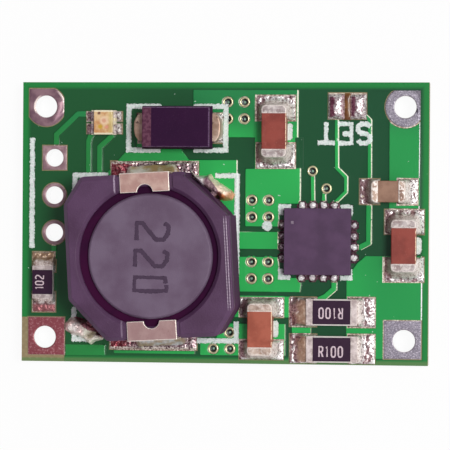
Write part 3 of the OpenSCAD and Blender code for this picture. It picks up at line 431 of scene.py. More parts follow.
mask = copy_of("green_mask", "top_solder_mask")
steps = pick(mask, "FACE", is_step)
cage = bmesh.from_edit_mesh(mask.data)
upright = set()
for face in cage.faces:
    for edge in face.edges if face.select else ():
        if abs(abs(edge.verts[0].co.z - edge.verts[1].co.z) - (HIGH - LOW)) < NEAR:
            upright.add(edge)
bpy.ops.mesh.select_mode(type="EDGE")
bpy.ops.mesh.select_all(action="DESELECT")
for edge in upright:
    edge.select_set(True)
bmesh.update_edit_mesh(mask.data)
bpy.ops.mesh.subdivide(number_cuts=4)
leave_edit()
print("steps of the mask:", steps)

# %% Take the flat faces off, push the bands, and fill the flats again
pick(mask, "FACE", on_flat)
bpy.ops.mesh.delete(type="ONLY_FACE")
cage = bmesh.from_edit_mesh(mask.data)
for edge in [edge for edge in cage.edges if edge.is_wire]:
    cage.edges.remove(edge)
shift = {}
for vert in cage.verts:
    facing = [face.normal for face in vert.link_faces if abs(face.normal.z) < 0.1
              and min(other.co.z for other in face.verts) > LOW - NEAR]
    out = sum(facing, Vector())
    if LOW - NEAR < vert.co.z < HIGH + NEAR and out.length > 0.2:
        rise = min(max((vert.co.z - LOW) / (HIGH - LOW), 0), 1)
        along = 0.5 - math.sin(math.asin(1 - 2 * rise) / 3)
        reach = FOOT - RUN * along
        shift[vert] = out.normalized() * reach
for vert, move in shift.items():
    vert.co += Vector((move.x, move.y, 0))
bmesh.update_edit_mesh(mask.data)
leave_edit()


def enclosed(spot, starts, ends):
    """Whether a line from this spot to the right crosses the outlines an odd number of times."""
    crossed = (starts[:, 1] > spot.y) != (ends[:, 1] > spot.y)
    first, last = starts[crossed], ends[crossed]
    at = first[:, 0] + (last[:, 0] - first[:, 0]) * (spot.y - first[:, 1]) / (last[:, 1] - first[:, 1])
    return np.count_nonzero(at > spot.x) % 2 == 1


def on_level(edge):
    return edge.is_boundary and all(abs(vert.co.z - level) < NEAR for vert in edge.verts)


for level in (LOW, HIGH):
    pick(mask, "EDGE", on_level)
    cage = bmesh.from_edit_mesh(mask.data)
    ring = [edge for edge in cage.edges if edge.select]
    corners = list(dict.fromkeys(vert for edge in ring for vert in edge.verts))
    number = {vert: i for i, vert in enumerate(corners)}
    lines = [(number[edge.verts[0]], number[edge.verts[1]]) for edge in ring]
    found = delaunay_2d_cdt([vert.co.xy for vert in corners], lines, [], 1, 1e-5)
    points = [corners[old[0]] if old else cage.verts.new((*spot, level))
              for spot, old in zip(found[0], found[3])]
    starts = np.array([edge.verts[0].co.xy for edge in ring])
    ends = np.array([edge.verts[1].co.xy for edge in ring])
    made = 0
    for loop in found[2]:
        spot = sum((found[0][i] for i in loop), Vector((0, 0))) / len(loop)
        if enclosed(spot, starts, ends):
            flat = cage.faces.new([points[i] for i in loop])
            flat.normal_update()
            if flat.normal.z < 0:
                flat.normal_flip()
            made += 1
    bmesh.update_edit_mesh(mask.data)
    leave_edit()
    print("flats at", level, "mm:", made, "triangles, new corners:", sum(not old for old in found[3]))

# %% [markdown]
# At the two rear corners the mask laps a little over the round lands, which leaves them with a flat or
# two. The points of the mask and, later, of the lands are held inside the same lines.

# %% Trim the openings at the rear corners
# Lines that the mask's edge keeps to: two at the right corner, one at the left
RIGHT_FLAT, REAR_FLAT, LEFT_FLAT = 11.97, 8.11, -9.93


def trim(piece):
    moved = 0
    for vert in piece.data.vertices:
        x, y, z = vert.co
        at_rear = z > 1.5 and 5.5 < y < 8.35
        if at_rear and 9.5 < x < 12.25:
            x, y = min(x, RIGHT_FLAT), min(y, REAR_FLAT)
        if at_rear and -12.3 < x < -9.6:
            x = min(x, LEFT_FLAT)
        moved += (x, y) != (vert.co.x, vert.co.y)
        vert.co = (x, y, z)
    print(piece.name, "points moved at the rear corners:", moved)


trim(mask)
smooth(mask, 50)

# %% Mask finish
skin, place = finish("green_lacquer")
x, y, z = axes(place)
over_copper = ramp(abs(z - 0.8), 0.77, 0.795)
dark_strip = ramp(x, 4.34, 4.37) * ramp(x, 4.9, 4.8) * ramp(y, 3.3, 3.4) * ramp(y, 5.25, 5.2)
over_copper = over_copper * (1 - dark_strip)
side = ramp(abs(x), 11.95, 12.3).most(ramp(abs(y), 8.1, 8.4))
front = ramp(y, -8.25, -8.45)
cloud = spots(place, 0.3, 3.0)
fleck = spots(place, 7.0, 3.0)
dark = mix(ramp(x + 6 * cloud, -6, 12), (28, 90, 48), (21, 80, 47))
dark = mix(side * 0.85, dark, (32, 140, 64))
dark = mix(front * 0.7, dark, (104, 132, 84))
bright = mix(ramp(x + 3 * cloud, -9, 2), (40, 136, 66), (46, 182, 88))
bright = mix(ramp(x, 6, 10), bright, (36, 156, 78))
bright = mix(ramp(y, 5, 7), bright, (38, 138, 76))
green = mix(over_copper, dark, bright)
dust = ramp(spots(place, 4.0, 1.0), 0.79, 0.81)
green = mix(dust, green, (190, 220, 200))
right, _, _ = turned(place)
# Painted highlight: ramps of the mask that face right are painted cream, as if lit by the lamp.
slope = ramp(right, 0.15, 0.35) * ramp(z, 1.555, 1.565) * ramp(fleck, 0.3, 0.45) * ramp(x, -2.5, -1)
slope = slope * (1 - 0.8 * ramp(y, -3.2, -3.4) * ramp(x, 5.6, 5.2))
painted_highlight_cream = mix(ramp(x, 9, 11), (240, 246, 216), (255, 255, 255))
green = mix(slope * (1 - dark_strip), green, painted_highlight_cream)
lacquer = wear(skin, green, 0.19 + 0.08 * fleck + 0.6 * dark_strip, fleck * 0.4 + cloud, 0.006,
               shine=0.4)
keep(mask, lacquer, "solder_mask", "top_solder_mask")
dress(lacquer, "bottom_solder_mask")

# %% [markdown]
# ## Plated holes
# The four wire holes, the three LED holes and the vias are lined with tin that also covers the land
# around each hole. Tin shrinks back from the edges as it cools, so a land is a low cushion. The top face
# is inset and lifted a little, and all its edges are rounded so that the rims catch the light.

# %% Cushioned lands
def cushion(name, node, margin, lift, width):
    piece = copy_of(name, node)
    pick(piece, "FACE", lambda face: face.normal.z > 0.9 and face.verts[0].co.z > 1.5)
    bpy.ops.mesh.inset(thickness=margin, depth=0)
    bpy.ops.transform.translate(value=(0, 0, lift))
    leave_edit()
    soften(piece, width)
    return piece


wire_lands = cushion("wire_lands", "wire_hole_plating", margin=0.08, lift=0.02, width=0.02)
trim(wire_lands)
header_lands = cushion("header_lands", "led_header_plating", margin=0.07, lift=0.02, width=0.02)
vias = cushion("via_rings", "via_plating", margin=0.04, lift=0.03, width=0.02)

# %% Finish of the lands
skin, place = finish("land_tin")
x, y, z = axes(place)
left = ramp(x, 1, -6) * ramp(z, 0.5, 1)
front_left = left * ramp(y, -5, -5.6)
bore = ramp(z, 0.03, 0.06) * ramp(z, 1.53, 1.46)
cloud = spots(place, 1.3, 4.0)
fine = spots(place, 9.0, 3.0)
tin = mix(ramp(fine, 0.35, 0.65), (128, 122, 134), (154, 148, 158))
spark = spots(place, 13.0, 2.0)
tin = mix(ramp(spark, 0.58, 0.66) * 0.7, tin, (214, 208, 218))
tin = mix(ramp(spark, 0.42, 0.36) * 0.5, tin, (92, 84, 98))
dull = mix(ramp(y, 5, 5.5), (152, 122, 128), (124, 94, 106))
pink = mix(ramp(y, 5, 5.5), (192, 160, 164), (158, 126, 134))
tin = mix(left, tin, mix(ramp(cloud, 0.4, 0.65), dull, pink))
tin = mix(front_left, tin, mix(ramp(fine, 0.48, 0.78), (150, 78, 86), (198, 142, 146)))
around = ((x + 11.05) ** 2.0 + (y - 7.1) ** 2.0) ** 0.5
# Painted highlight: a pale crescent along the edges of the rear left land.
painted_crescent = ramp(around, 1.06, 1.12) * ramp(x + 0.3 * cloud, -10.3, -10) * ramp(y, 6.6, 6.9)
painted_crescent = painted_crescent * ramp(x, -9.4, -9.6)
painted_crescent = painted_crescent.most(ramp(around, 0.8, 0.75) * ramp(x, -11.3, -11.5) * ramp(y, 6.6, 6.9))
tin = mix(painted_crescent * 0.8, tin, (244, 228, 220))
scratch = ramp(abs(x - 11.74 + 0.3 * (y - 6.92)) + 0.4 * abs(y - 6.92), 0.12, 0.06)
tin = mix(scratch * 0.9, tin, (48, 42, 58))
# Painted highlight: the rounded rims of the lands are painted paler.
tin = mix(rounded(place) * 0.5, tin, (236, 224, 214))
tin = mix(bore, tin, (252, 252, 252))
land_tin = wear(skin, tin, 0.5 - 0.47 * bore, cloud * 0.4 + fine * 0.4, 0.012,
                metallic=0.75 + 0.25 * bore)
keep(wire_lands, land_tin, "hole_plating", "wire_hole_plating")
keep(header_lands, land_tin, "hole_plating", "led_header_plating")

# %% Finish of the vias
skin, place, cloud = finish("via_tin", (3.0, 3.0))
_, _, z = axes(place)
bore = ramp(z, 0.1, 0.2) * ramp(z, 1.56, 1.5)
ring = mix(cloud, (214, 206, 150), (246, 240, 204))
via_tin = wear(skin, mix(bore, ring, (22, 40, 32)), 0.3 + 0.5 * bore, cloud, 0.01,
               metallic=0.75 - 0.75 * bore)
keep(vias, via_tin, "via_plating", "via_plating")

# %% [markdown]
# The wire holes show the white table through them, but the vias look black: they are stopped with mask
# ink from below. The bores of the vias are copied, cut short and closed, and each top is dished.

# %% Stopped vias
plugs = copy_of("via_plugs", "via_plating")
pick(plugs, "FACE", lambda face: max(v.co.z for v in face.verts) - min(v.co.z for v in face.verts) < 1.53)
bpy.ops.mesh.delete(type="FACE")
leave_edit()
pick(plugs, "VERT", lambda vert: vert.co.z > 1)
bpy.ops.transform.translate(value=(0, 0, -0.35))
bpy.ops.mesh.select_all(action="SELECT")
bpy.ops.mesh.fill_holes(sides=0)
bpy.ops.mesh.normals_make_consistent(inside=False)
leave_edit()
print("stopped vias:", pick(plugs, "FACE", lambda face: face.normal.z > 0.9))
bpy.ops.mesh.inset(thickness=0.13, depth=-0.03, use_individual=True)
leave_edit()
# Painted glint: the dished middle of each plug is marked, and painted pale below.
painted_glint_faces = [float(face.normal.z > 0.99) for face in plugs.data.polygons]
plugs.data.attributes.new("rim", "FLOAT", "FACE").data.foreach_set("value", painted_glint_faces)
smooth(plugs, 60)
skin, place, cloud = finish("plug_ink", (4.0, 3.0))
dull = mix(cloud, (16, 28, 22), (38, 58, 46))
# Painted glint: here the faces marked rim are the dished middles, painted pale.
plug_ink = wear(skin, mix(rounded(place), dull, (170, 220, 190)), 0.2 + 0.2 * cloud, cloud, 0.05,
                coat=0.5)
keep(plugs, plug_ink, "solder_mask")

# %% [markdown]
# ## Inductor
# The largest part is a coil in a ring of ferrite: eight-sided outside, round inside, with a drum core in
# the bore and wire wound on the drum. Ferrite is pressed from powder, so its edges are rounded by
# tumbling and its face is slightly grainy. The copies are rounded, and the cut at the rear right corner
# is moved in and turned a little, where the tinned wire comes out.

# %% Ferrite shapes
# Turn and middle of the inductor on the board
TURN = Matrix.Rotation(math.radians(3.3), 4, "Z")
RING_X, RING_Y = -4.1, -2.03
AT = Vector((RING_X, RING_Y, 0))


def at_cut(vert):
    """Whether a point lies where the rear right corner cut meets the rear wall."""
    here = TURN.inverted() @ (vert.co - AT)
    return 2.2 < here.x < 3.1 and here.y > 4.3


shield = copy_of("inductor_ring", "inductor_shield")
pick(shield, "FACE", lambda face: min(face.normal.x, face.normal.y) > 0.3
     and face.calc_center_median().length > 3 and face.calc_center_median().x > -1.2)
bpy.ops.transform.translate(value=(-0.14, -0.12, 0))
leave_edit()
print("points at the corner cut:", pick(shield, "VERT", at_cut))
bpy.ops.transform.translate(value=TURN @ Vector((-0.4, 0, 0)))
leave_edit()
soften(shield, 0.07, 3)
core = copy_of("inductor_core", "inductor_drum_core")
soften(core, 0.05, 3)

# %% Ferrite finishes
skin, place, cloud, powder = finish("ferrite_ring", (0.5, 3.0), (22.0, 2.0))
x, y, z = axes(place)
grit = grains(place, 9.0)
grey = mix(ramp(cloud, 0.3, 0.7), (74, 44, 74), (88, 58, 90))
grey = mix(ramp(powder, 0.6, 0.8) * 0.3, grey, (140, 118, 142))
wall = ramp(z, 5.0, 4.7)
grey = mix(wall, grey, (78, 40, 76))
out = x + 0.058 * y
waves = (out * 46).sine()
lit = ramp(out, 0.36, 0.44) * ramp(out, 0.72, 0.66) * ramp(abs(y + 2.4), 2.9, 2.5) * (1 - wall)
beads = (y * 72).sine()
lit = lit * ramp(waves, 0.2, 0.6) * ramp(beads, -0.5, 0.2) * ramp(powder, 0.3, 0.46)
grey = mix(lit * 0.9, grey, (226, 212, 226))
from_middle = abs(y - RING_Y)
# Painted highlight: pale lines along the edges of the clip seats, as if catching the light.
seat_highlight = ramp(from_middle, 3.7, 3.9) * ramp(from_middle, 4.95, 4.8) * (0.25 + 0.35 * ramp(y, -3, -1))
seat_highlight = seat_highlight * ramp(abs(out + 6.05), 0.07, 0.03) * ramp(powder, 0.3, 0.46) * (1 - wall)
grey = mix(seat_highlight, grey, (206, 188, 208))
ferrite = wear(skin, grey, 0.42 + 0.16 * powder + 0.4 * wall, powder * 0.5 + grit * 0.3 + cloud, 0.016,
               shine=0.35)
keep(shield, ferrite, "ferrite_shield", "inductor_shield")

skin, _, cloud, powder = finish("ferrite_drum", (0.6, 3.0), (18.0, 2.0))
grey = mix(ramp(cloud, 0.3, 0.7), (94, 72, 96), (110, 92, 114))
grey = mix(ramp(powder, 0.62, 0.8) * 0.25, grey, (150, 138, 152))
drum = wear(skin, grey, 0.5 + 0.15 * powder, powder * 0.5 + cloud, 0.012)
keep(core, drum, "ferrite_core", "inductor_drum_core")

enamel = cloudy("enamelled_wire", 1.6, (80, 30, 32), (126, 58, 46), 0.3, 0.01, metallic=0.5, coat=0.5)
dress(enamel, "inductor_winding")

# %% Dark fill in the gap between drum and ring, painted as its shade
bpy.ops.object.select_all(action="DESELECT")
bpy.ops.mesh.primitive_cylinder_add(vertices=72, radius=4.26, depth=0.3, location=(RING_X, RING_Y, 4.9))
gap_fill = bpy.context.object
gap_fill.name = "shaded_gap_fill"
bpy.ops.object.transform_apply(location=True, rotation=True, scale=True)
pick(gap_fill, "FACE", lambda face: abs(face.normal.z) > 0.9)
bpy.ops.mesh.inset(thickness=0.64, depth=0)
bpy.ops.mesh.bridge_edge_loops()
leave_edit()
smooth(gap_fill, 40)
# Partly the winding's own wine colour, partly painted shade: the fill is darkened to the shade deep in the
# gap.
skin, place, cloud = finish("shaded_gap_fill", (0.9, 3.0))
x, y, _ = axes(place)
wine = mix(ramp(cloud - 0.03 * y - 0.03 * x, 0.6, 0.95), (50, 10, 46), (62, 12, 52))
gap_shade = wear(skin, wine, 0.8 + 0.2 * cloud, cloud, 0.02, shine=0.15)
keep(gap_fill, gap_shade, "enamelled_wire")

# %% [markdown]
# ## Clips of the inductor
# Two folded strips of tinned metal hold the ring and carry it on the board. They are stamped, so the
# edges are a little rounded, and tin has left them blotchy.

# %% Clips
clips = copy_of("inductor_clips", "inductor_input_clip", "inductor_output_clip")
soften(clips, 0.045, 3)
skin, place, cloud, fine = finish("clip_tin", (1.6, 4.0), (9.0, 3.0))
_, y, _ = axes(place)
warm = mix(ramp(cloud, 0.35, 0.68), (192, 152, 142), (214, 182, 168))
warm = mix(ramp(y, 0, -4) * 0.8, warm, mix(cloud, (160, 124, 126), (182, 152, 150)))
warm = mix(ramp(fine, 0.6, 0.75) * 0.35, warm, (140, 108, 98))
warm = mix(rounded(place) * 0.9, warm, (252, 242, 230))
clip_tin = wear(skin, warm, 0.42, cloud + fine * 0.4, 0.012, metallic=0.55)
keep(clips, clip_tin, "clip_metal", "inductor_input_clip", "inductor_output_clip")

# %% [markdown]
# ## Solder
# Solder wets a land, stands low at its rim and climbs the metal end of a part. A grid over the land is
# lifted to that height at each point, with lumps from a noise of fixed seed, and its rim is extruded
# down into the copper and closed. That gives every joint its own crooked shine.

# %% Tools for pools of solder
LAND = 1.575


def inside(x, y, low, high, corner=0.14):
    """How far a point lies inside a rectangle with round corners."""
    over_x = abs(x - (low[0] + high[0]) / 2) - (high[0] - low[0]) / 2 + corner
    over_y = abs(y - (low[1] + high[1]) / 2) - (high[1] - low[1]) / 2 + corner
    return corner - math.hypot(max(over_x, 0), max(over_y, 0)) - min(max(over_x, over_y), 0)


def lump(x, y, size, seed):
    return noise.noise(Vector((x / size, y / size, seed * 7.3)))


def rim(depth, width):
    """Height from 0 at the rim of a pool to 1 well inside, and below 0 outside it."""
    return 1 - math.exp(-depth / width) if depth > 0 else depth / width


def pool(name, low, high, height, cell=0.05, sunk=0.02):
    wide, deep = high[0] - low[0], high[1] - low[1]
    bpy.ops.object.select_all(action="DESELECT")
    bpy.ops.mesh.primitive_grid_add(x_subdivisions=round(wide / cell), size=1,
                                    y_subdivisions=round(deep / cell))
    piece = bpy.context.object
    piece.name = name
    for vert in piece.data.vertices:
        x = low[0] + (vert.co.x + 0.5) * wide
        y = low[1] + (vert.co.y + 0.5) * deep
        vert.co = (x, y, LAND + max(height(x, y), -sunk))
    pick(piece, "EDGE", lambda edge: edge.is_boundary)
    bpy.ops.mesh.extrude_edges_move(TRANSFORM_OT_translate={"value": (0, 0, -0.01)})
    cage = bmesh.from_edit_mesh(piece.data)
    for vert in cage.verts:
        if vert.select:
            vert.co.z = LAND - sunk - 0.015
    bmesh.update_edit_mesh(piece.data)
    bpy.ops.mesh.edge_face_add()
    bpy.ops.mesh.select_all(action="SELECT")
    bpy.ops.mesh.normals_make_consistent(inside=False)
    leave_edit()
    alone(piece)
    bpy.ops.object.shade_smooth_by_angle(angle=math.radians(70))
    return piece


# %% Pools at the two ends of a chip part
def fillets(name, nodes, reach, climb, wide, seed, hollow=False):
    """Pools past the ends of a part: reach gives the land past the end, under the part and beside it."""
    corners = [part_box(node) for node in nodes]
    low = [min(box[0][i] for box in corners) / MM for i in range(2)]
    high = [max(box[1][i] for box in corners) / MM for i in range(2)]
    along = 0 if high[0] - low[0] > high[1] - low[1] else 1
    pools = []
    for end in (-1, 1):
        tip = high[along] if end > 0 else low[along]
        ends = sorted((tip + end * reach[0], tip - end * reach[1]))
        land_low = [low[0] - reach[2], low[1] - reach[2]]
        land_high = [high[0] + reach[2], high[1] + reach[2]]
        land_low[along], land_high[along] = ends

        def height(x, y):
            depth = inside(x, y, land_low, land_high, 0.06) - 0.015 + 0.05 * lump(x, y, 0.35, seed)
            away = max(-inside(x, y, low, high, 0.28), 0) * (1 + 0.3 * lump(x, y, 0.5, seed + 9))
            part = min(away / wide[max(end, 0)], 1)
            shore = rim(max(depth, 0), 0.08)
            bulge = climb * ((1 - part) ** 2 if hollow else (1 - part ** 2) ** 1.2)
            bumps = 0.07 * lump(x, y, 0.26, seed + 3) + 0.04 * lump(x, y, 0.11, seed + 5)
            return 0.05 * rim(depth, 0.08) + bulge * shore + bumps * shore * min(away / 0.2, 1)

        pools.append(pool(name, land_low, land_high, height))
    return join(name, pools)


# %% Solder finish
skin, place, cloud, fine = finish("solder", (1.5, 4.0), (8.0, 5.0, 0.6))
x, y, z = axes(place)
right, _, _ = turned(place)
high = ramp(z + 0.3 * cloud, 1.85, 2.1)
by_led = ramp(x, -9.9, -10.2)
# Painted highlight and shade: low solder facing right is painted pale, facing left darker.
silver = mix(ramp(right + 1.2 * cloud, 0.3, 0.7), (184, 148, 150), (252, 248, 244))
silver = mix(ramp(fine, 0.51, 0.59) * 0.85, silver, (92, 50, 60))
silver = mix(by_led * ramp(y, -2.8, -2.6) * 0.8, silver, mix(fine, (112, 66, 34), (216, 186, 140)))
silver = mix(by_led * ramp(y, -5.0, -5.15), silver, mix(fine, (130, 54, 62), (196, 140, 140)))
# Painted highlight and shade: high solder facing right is painted pale, facing left darker.
brown = mix(ramp(right + cloud, 0.1, 0.9), (172, 150, 142), (232, 220, 212))
brown = mix(ramp(fine, 0.52, 0.6) * 0.7, brown, (138, 104, 88))
# Painted glints: small white specks on the high solder.
painted_glints = spots(place, 11.0, 4.0)
brown = mix(ramp(painted_glints, 0.56, 0.62) * 0.8, brown, (255, 252, 246))
flux_tan = ramp(x, 3.9, 4.1) * ramp(x, 5.7, 5.5) * ramp(y, -4.4, -4.8)
brown = mix(flux_tan * 0.9, brown, mix(cloud, (150, 112, 84), (184, 150, 118)))
solder = wear(skin, mix(high * 0.9, silver, brown), 0.16 + 0.3 * fine + 0.14 * high, fine, 0.04,
              metallic=0.7 - 0.6 * high)

# %% Solder of the capacitors and resistors
# Each part, its land past, under and beside the end, the climb, and the run at its two ends
jobs = [
    ("input_capacitor", (0.6, 0.9, 0.42), 0.9, (0.46, 0.46)),
    ("battery_capacitor", (0.6, 0.9, 0.42), 0.9, (0.46, 0.46)),
    ("output_capacitor", (0.29, 0.9, 0.57), 0.9, (0.46, 0.46)),
    ("bypass_capacitor", (0.72, 0.5, 0.09), 0.7, (0.5, 0.5)),
    ("upper_sense_resistor", (1.05, 0.6, 0.09), 0.4, (0.95, 0.4)),
    ("lower_sense_resistor", (1.05, 0.6, 0.09), 0.4, (0.8, 0.36)),
    ("led_resistor", (0.85, 0.4, 0.09), 0.4, (0.4, 0.5)),
]
for seed, (part, reach, climb, wide) in enumerate(jobs):
    hollow = "capacitor" in part
    joint = fillets(part + "_joints", [part + "_terminals"], reach, climb, wide, seed + 1, hollow)
    keep(joint, solder, "solder", part + "_solder")

joint = fillets("diode_joints", ["diode_cathode_lead", "diode_anode_lead"],
                (0.1, 1.15, 0.15), 0.15, (0.2, 0.2), 21)
keep(joint, solder, "solder", "diode_solder")

# %% Solder of the LED
# How far a row of terminals lies from the middle, and half the width of its pool
LED_ROW, LED_HALF = 0.375, 0.32
low, high = [[v / MM for v in corner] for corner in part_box("led_substrate")]
pools = []
for end in (-1, 1):
    for row in (-1, 1):
        tip = high[0] if end > 0 else low[0]
        middle = (low[1] + high[1]) / 2 + row * LED_ROW
        past = 0.34 if end < 0 else 0.28
        ends = sorted((tip + end * past, tip - end * 0.2))
        corner_low = [ends[0], middle - LED_HALF]
        corner_high = [ends[1], middle + LED_HALF]

        def height(x, y):
            depth = inside(x, y, corner_low, corner_high) - 0.03 + 0.05 * lump(x, y, 0.25, end + row * 3)
            away = -inside(x, y, low, high, 0.02)
            if away < 0.01:
                return 0.02
            return 0.05 * rim(depth, 0.07) + 0.2 * math.exp(-away / 0.12) * rim(max(depth, 0), 0.07)

        pools.append(pool("led_joints", corner_low, corner_high, height, 0.04))
keep(join("led_joints", pools), solder, "solder", "led_solder")

# %% Solder of the jumper
# Middle of the gap, how far each land's middle lies from it, and half a land's size
GAP_X, GAP_Y = 7.53, 7.12
APART = 0.655
HALF_X, HALF_Y = 0.52, 0.77
skin, place, cloud, fine = finish("jumper_tin", (2.0, 4.0), (9.0, 4.0))
x, y, _ = axes(place)
from_gap = x - GAP_X
from_middle = from_gap - APART * (2 * ramp(from_gap, -0.02, 0.02) - 1)
edge = ramp(abs(y - GAP_Y) + 0.2 * fine, 0.66, 0.74)
shade = ramp(from_middle + 0.3 * cloud, 0.1, -0.06) * (1 - edge) * ramp(from_middle, -0.5, -0.36)
bright = mix(ramp(fine, 0.42, 0.56), (168, 140, 146), (250, 244, 240))
bright = mix(ramp(from_gap, -0.1, -0.3) * ramp(from_middle, 0.25, 0.4) * 0.6, bright, (190, 140, 150))
wine = mix(ramp(fine, 0.4, 0.62), (86, 30, 52), (132, 76, 96))
jumper_tin = wear(skin, mix(shade, bright, wine), 0.2 + 0.2 * fine, fine, 0.03,
                  metallic=0.8 - 0.6 * shade)
pools = []
for end in (-1, 1):
    corner_low = [GAP_X + end * APART - HALF_X, GAP_Y - HALF_Y]
    corner_high = [GAP_X + end * APART + HALF_X, GAP_Y + HALF_Y]

    def height(x, y):
        depth = inside(x, y, corner_low, corner_high, 0.1) - 0.02 + 0.04 * lump(x, y, 0.2, end)
        roof = 1 - (1 - min(max(depth, 0) / 0.46, 1)) ** 2
        bumps = 0.03 * lump(x, y, 0.2, end + 8) * rim(max(depth, 0), 0.2)
        return 0.03 * rim(depth, 0.05) + 0.24 * roof + bumps

    pools.append(pool("jumper_joints", corner_low, corner_high, height, 0.035))
keep(join("jumper_joints", pools), jumper_tin, "solder", "jumper_solder")

# %% Flux left in the gap of the jumper
skin, _, cloud, fine = finish("flux", (2.6, 3.0), (9.0, 2.0))
resin = mix(ramp(cloud, 0.35, 0.65), (96, 52, 16), (124, 80, 28))
resin = mix(ramp(fine, 0.7, 0.74), resin, (250, 190, 130))
flux = wear(skin, resin, 0.25 + 0.2 * cloud, cloud, 0.03, coat=0.3)


def film(x, y):
    depth = 0.2 + 0.06 * lump(x, y, 0.4, 3) - abs(x - GAP_X)
    depth = min(depth, 0.76 + 0.05 * lump(x, y, 0.2, 5) - abs(y - GAP_Y))
    return 0.075 * rim(depth, 0.05)


keep(pool("jumper_flux", (7.27, 6.3), (7.79, 7.94), film, 0.04), flux, "solder")

# %% [markdown]
# ## Solder of the inductor
# Below and above the inductor, a wide land carries solder that slopes up against the clip. At two corners
# the end of the winding comes out, dipped in tin and bent down to the board: a crumpled lump of solder
# round a tinned wire. Such a lump is a pool with a drawn outline and a flat-backed ridge along the wire.

# %% Finish of the inductor's solder
skin, place, cloud, fine = finish("old_solder", (1.5, 4.0), (8.0, 3.0))
x, y, z = axes(place)
front = ramp(y, 0, -4)
left = ramp(x + cloud, -4.8, -5.6)
film = mix(ramp(fine, 0.4, 0.62), (110, 74, 84), (214, 196, 196))
film = mix(left, film, mix(ramp(fine, 0.45, 0.7), (134, 54, 64), (180, 112, 118)))
olive = mix(ramp(cloud + 0.05 * x, 0.1, 0.35), (246, 238, 226), (204, 172, 124))
grey = mix(ramp(cloud, 0.4, 0.6), (172, 150, 128), (200, 200, 202))
climb = ramp(z + 0.08 * fine, 1.68, 1.8)
skim = mix(climb, film, mix(front, olive, grey))
skim = mix(ramp(abs(y - RING_Y), 5.56, 5.66) * ramp(fine, 0.42, 0.52), skim, (248, 238, 224))
old_solder = wear(skin, skim, 0.22 + 0.2 * fine, fine, 0.025, metallic=0.8 - 0.5 * climb)

# %% Lands of the inductor
# How far the face of a clip lies from the inductor's middle, and half its width
CLIP_FACE, CLIP_HALF = 5.035, 1.25


def clip_pool(end):
    middle_x, middle_y = -4.3, RING_Y + end * 4.725
    half_x, half_y = 2.68, 1.03
    low = (middle_x - half_x, middle_y - half_y)
    high = (middle_x + half_x, middle_y + half_y)

    def height(x, y):
        here = TURN.inverted() @ (Vector((x, y, 0)) - AT)
        depth = inside(x, y, low, high, 0.1) - 0.02 + 0.06 * lump(x, y, 0.5, end)
        past = max(here.y * end - CLIP_FACE, 0)
        aside = max(abs(here.x) - CLIP_HALF, 0)
        shore = rim(max(depth, 0), 0.05)
        slope = 0.75 * max(1 - math.hypot(past / 0.55, aside / 0.4), 0)
        bumps = 0.06 * lump(x, y, 0.3, end + 4) + 0.03 * lump(x, y, 0.13, end + 6)
        return 0.05 * rim(depth, 0.06) + (slope + bumps) * shore

    return pool("inductor_joints", low, high, height)


keep(join("inductor_joints", [clip_pool(1), clip_pool(-1)]), old_solder, "solder")

# %% Tinned ends of the winding
def within(x, y, outline):
    """How far a point lies inside a closed outline, below 0 outside it."""
    spot = Vector((x, y))
    nearest, odd = 9.0, False
    for one, two in zip(outline, outline[1:] + outline[:1]):
        one, two = Vector(one), Vector(two)
        part = min(max((spot - one).dot(two - one) / (two - one).length_squared, 0), 1)
        nearest = min(nearest, (spot - one.lerp(two, part)).length)
        if (one.y > y) != (two.y > y) and x < one.x + (two.x - one.x) * (y - one.y) / (two.y - one.y):
            odd = not odd
    return nearest if odd else -nearest


def ridge(x, y, run):
    """Height of a flat-backed ridge along a run of (x, y, height, half width)."""
    spot = Vector((x, y))
    best = 0
    for one, two in zip(run, run[1:]):
        start, way = Vector(one[:2]), Vector(two[:2]) - Vector(one[:2])
        part = min(max((spot - start).dot(way) / way.length_squared, 0), 1)
        off = (spot - start - part * way).length / (one[3] + part * (two[3] - one[3]))
        best = max(best, (one[2] + part * (two[2] - one[2])) * max(1 - off ** 4, 0))
    return best


def tinned(name, outline, runs, crumple, seed):
    low = [min(corner[i] for corner in outline) - 0.06 for i in range(2)]
    high = [max(corner[i] for corner in outline) + 0.06 for i in range(2)]

    def height(x, y):
        depth = within(x, y, outline) + 0.03 * lump(x, y, 0.25, seed)
        creases = abs(lump(x, y, 0.45, seed + 2)) + 0.5 * abs(lump(x, y, 0.2, seed + 4))
        back = max(ridge(x, y, run) for run in runs)
        return 0.16 * rim(depth, 0.06) + (back + crumple * (0.3 - creases)) * rim(max(depth, 0), 0.08)

    piece = pool(name, low, high, height, 0.03, 0.05)
    apply(piece, "SMOOTH", iterations=2)
    alone(piece)
    bpy.ops.object.shade_smooth()
    return piece


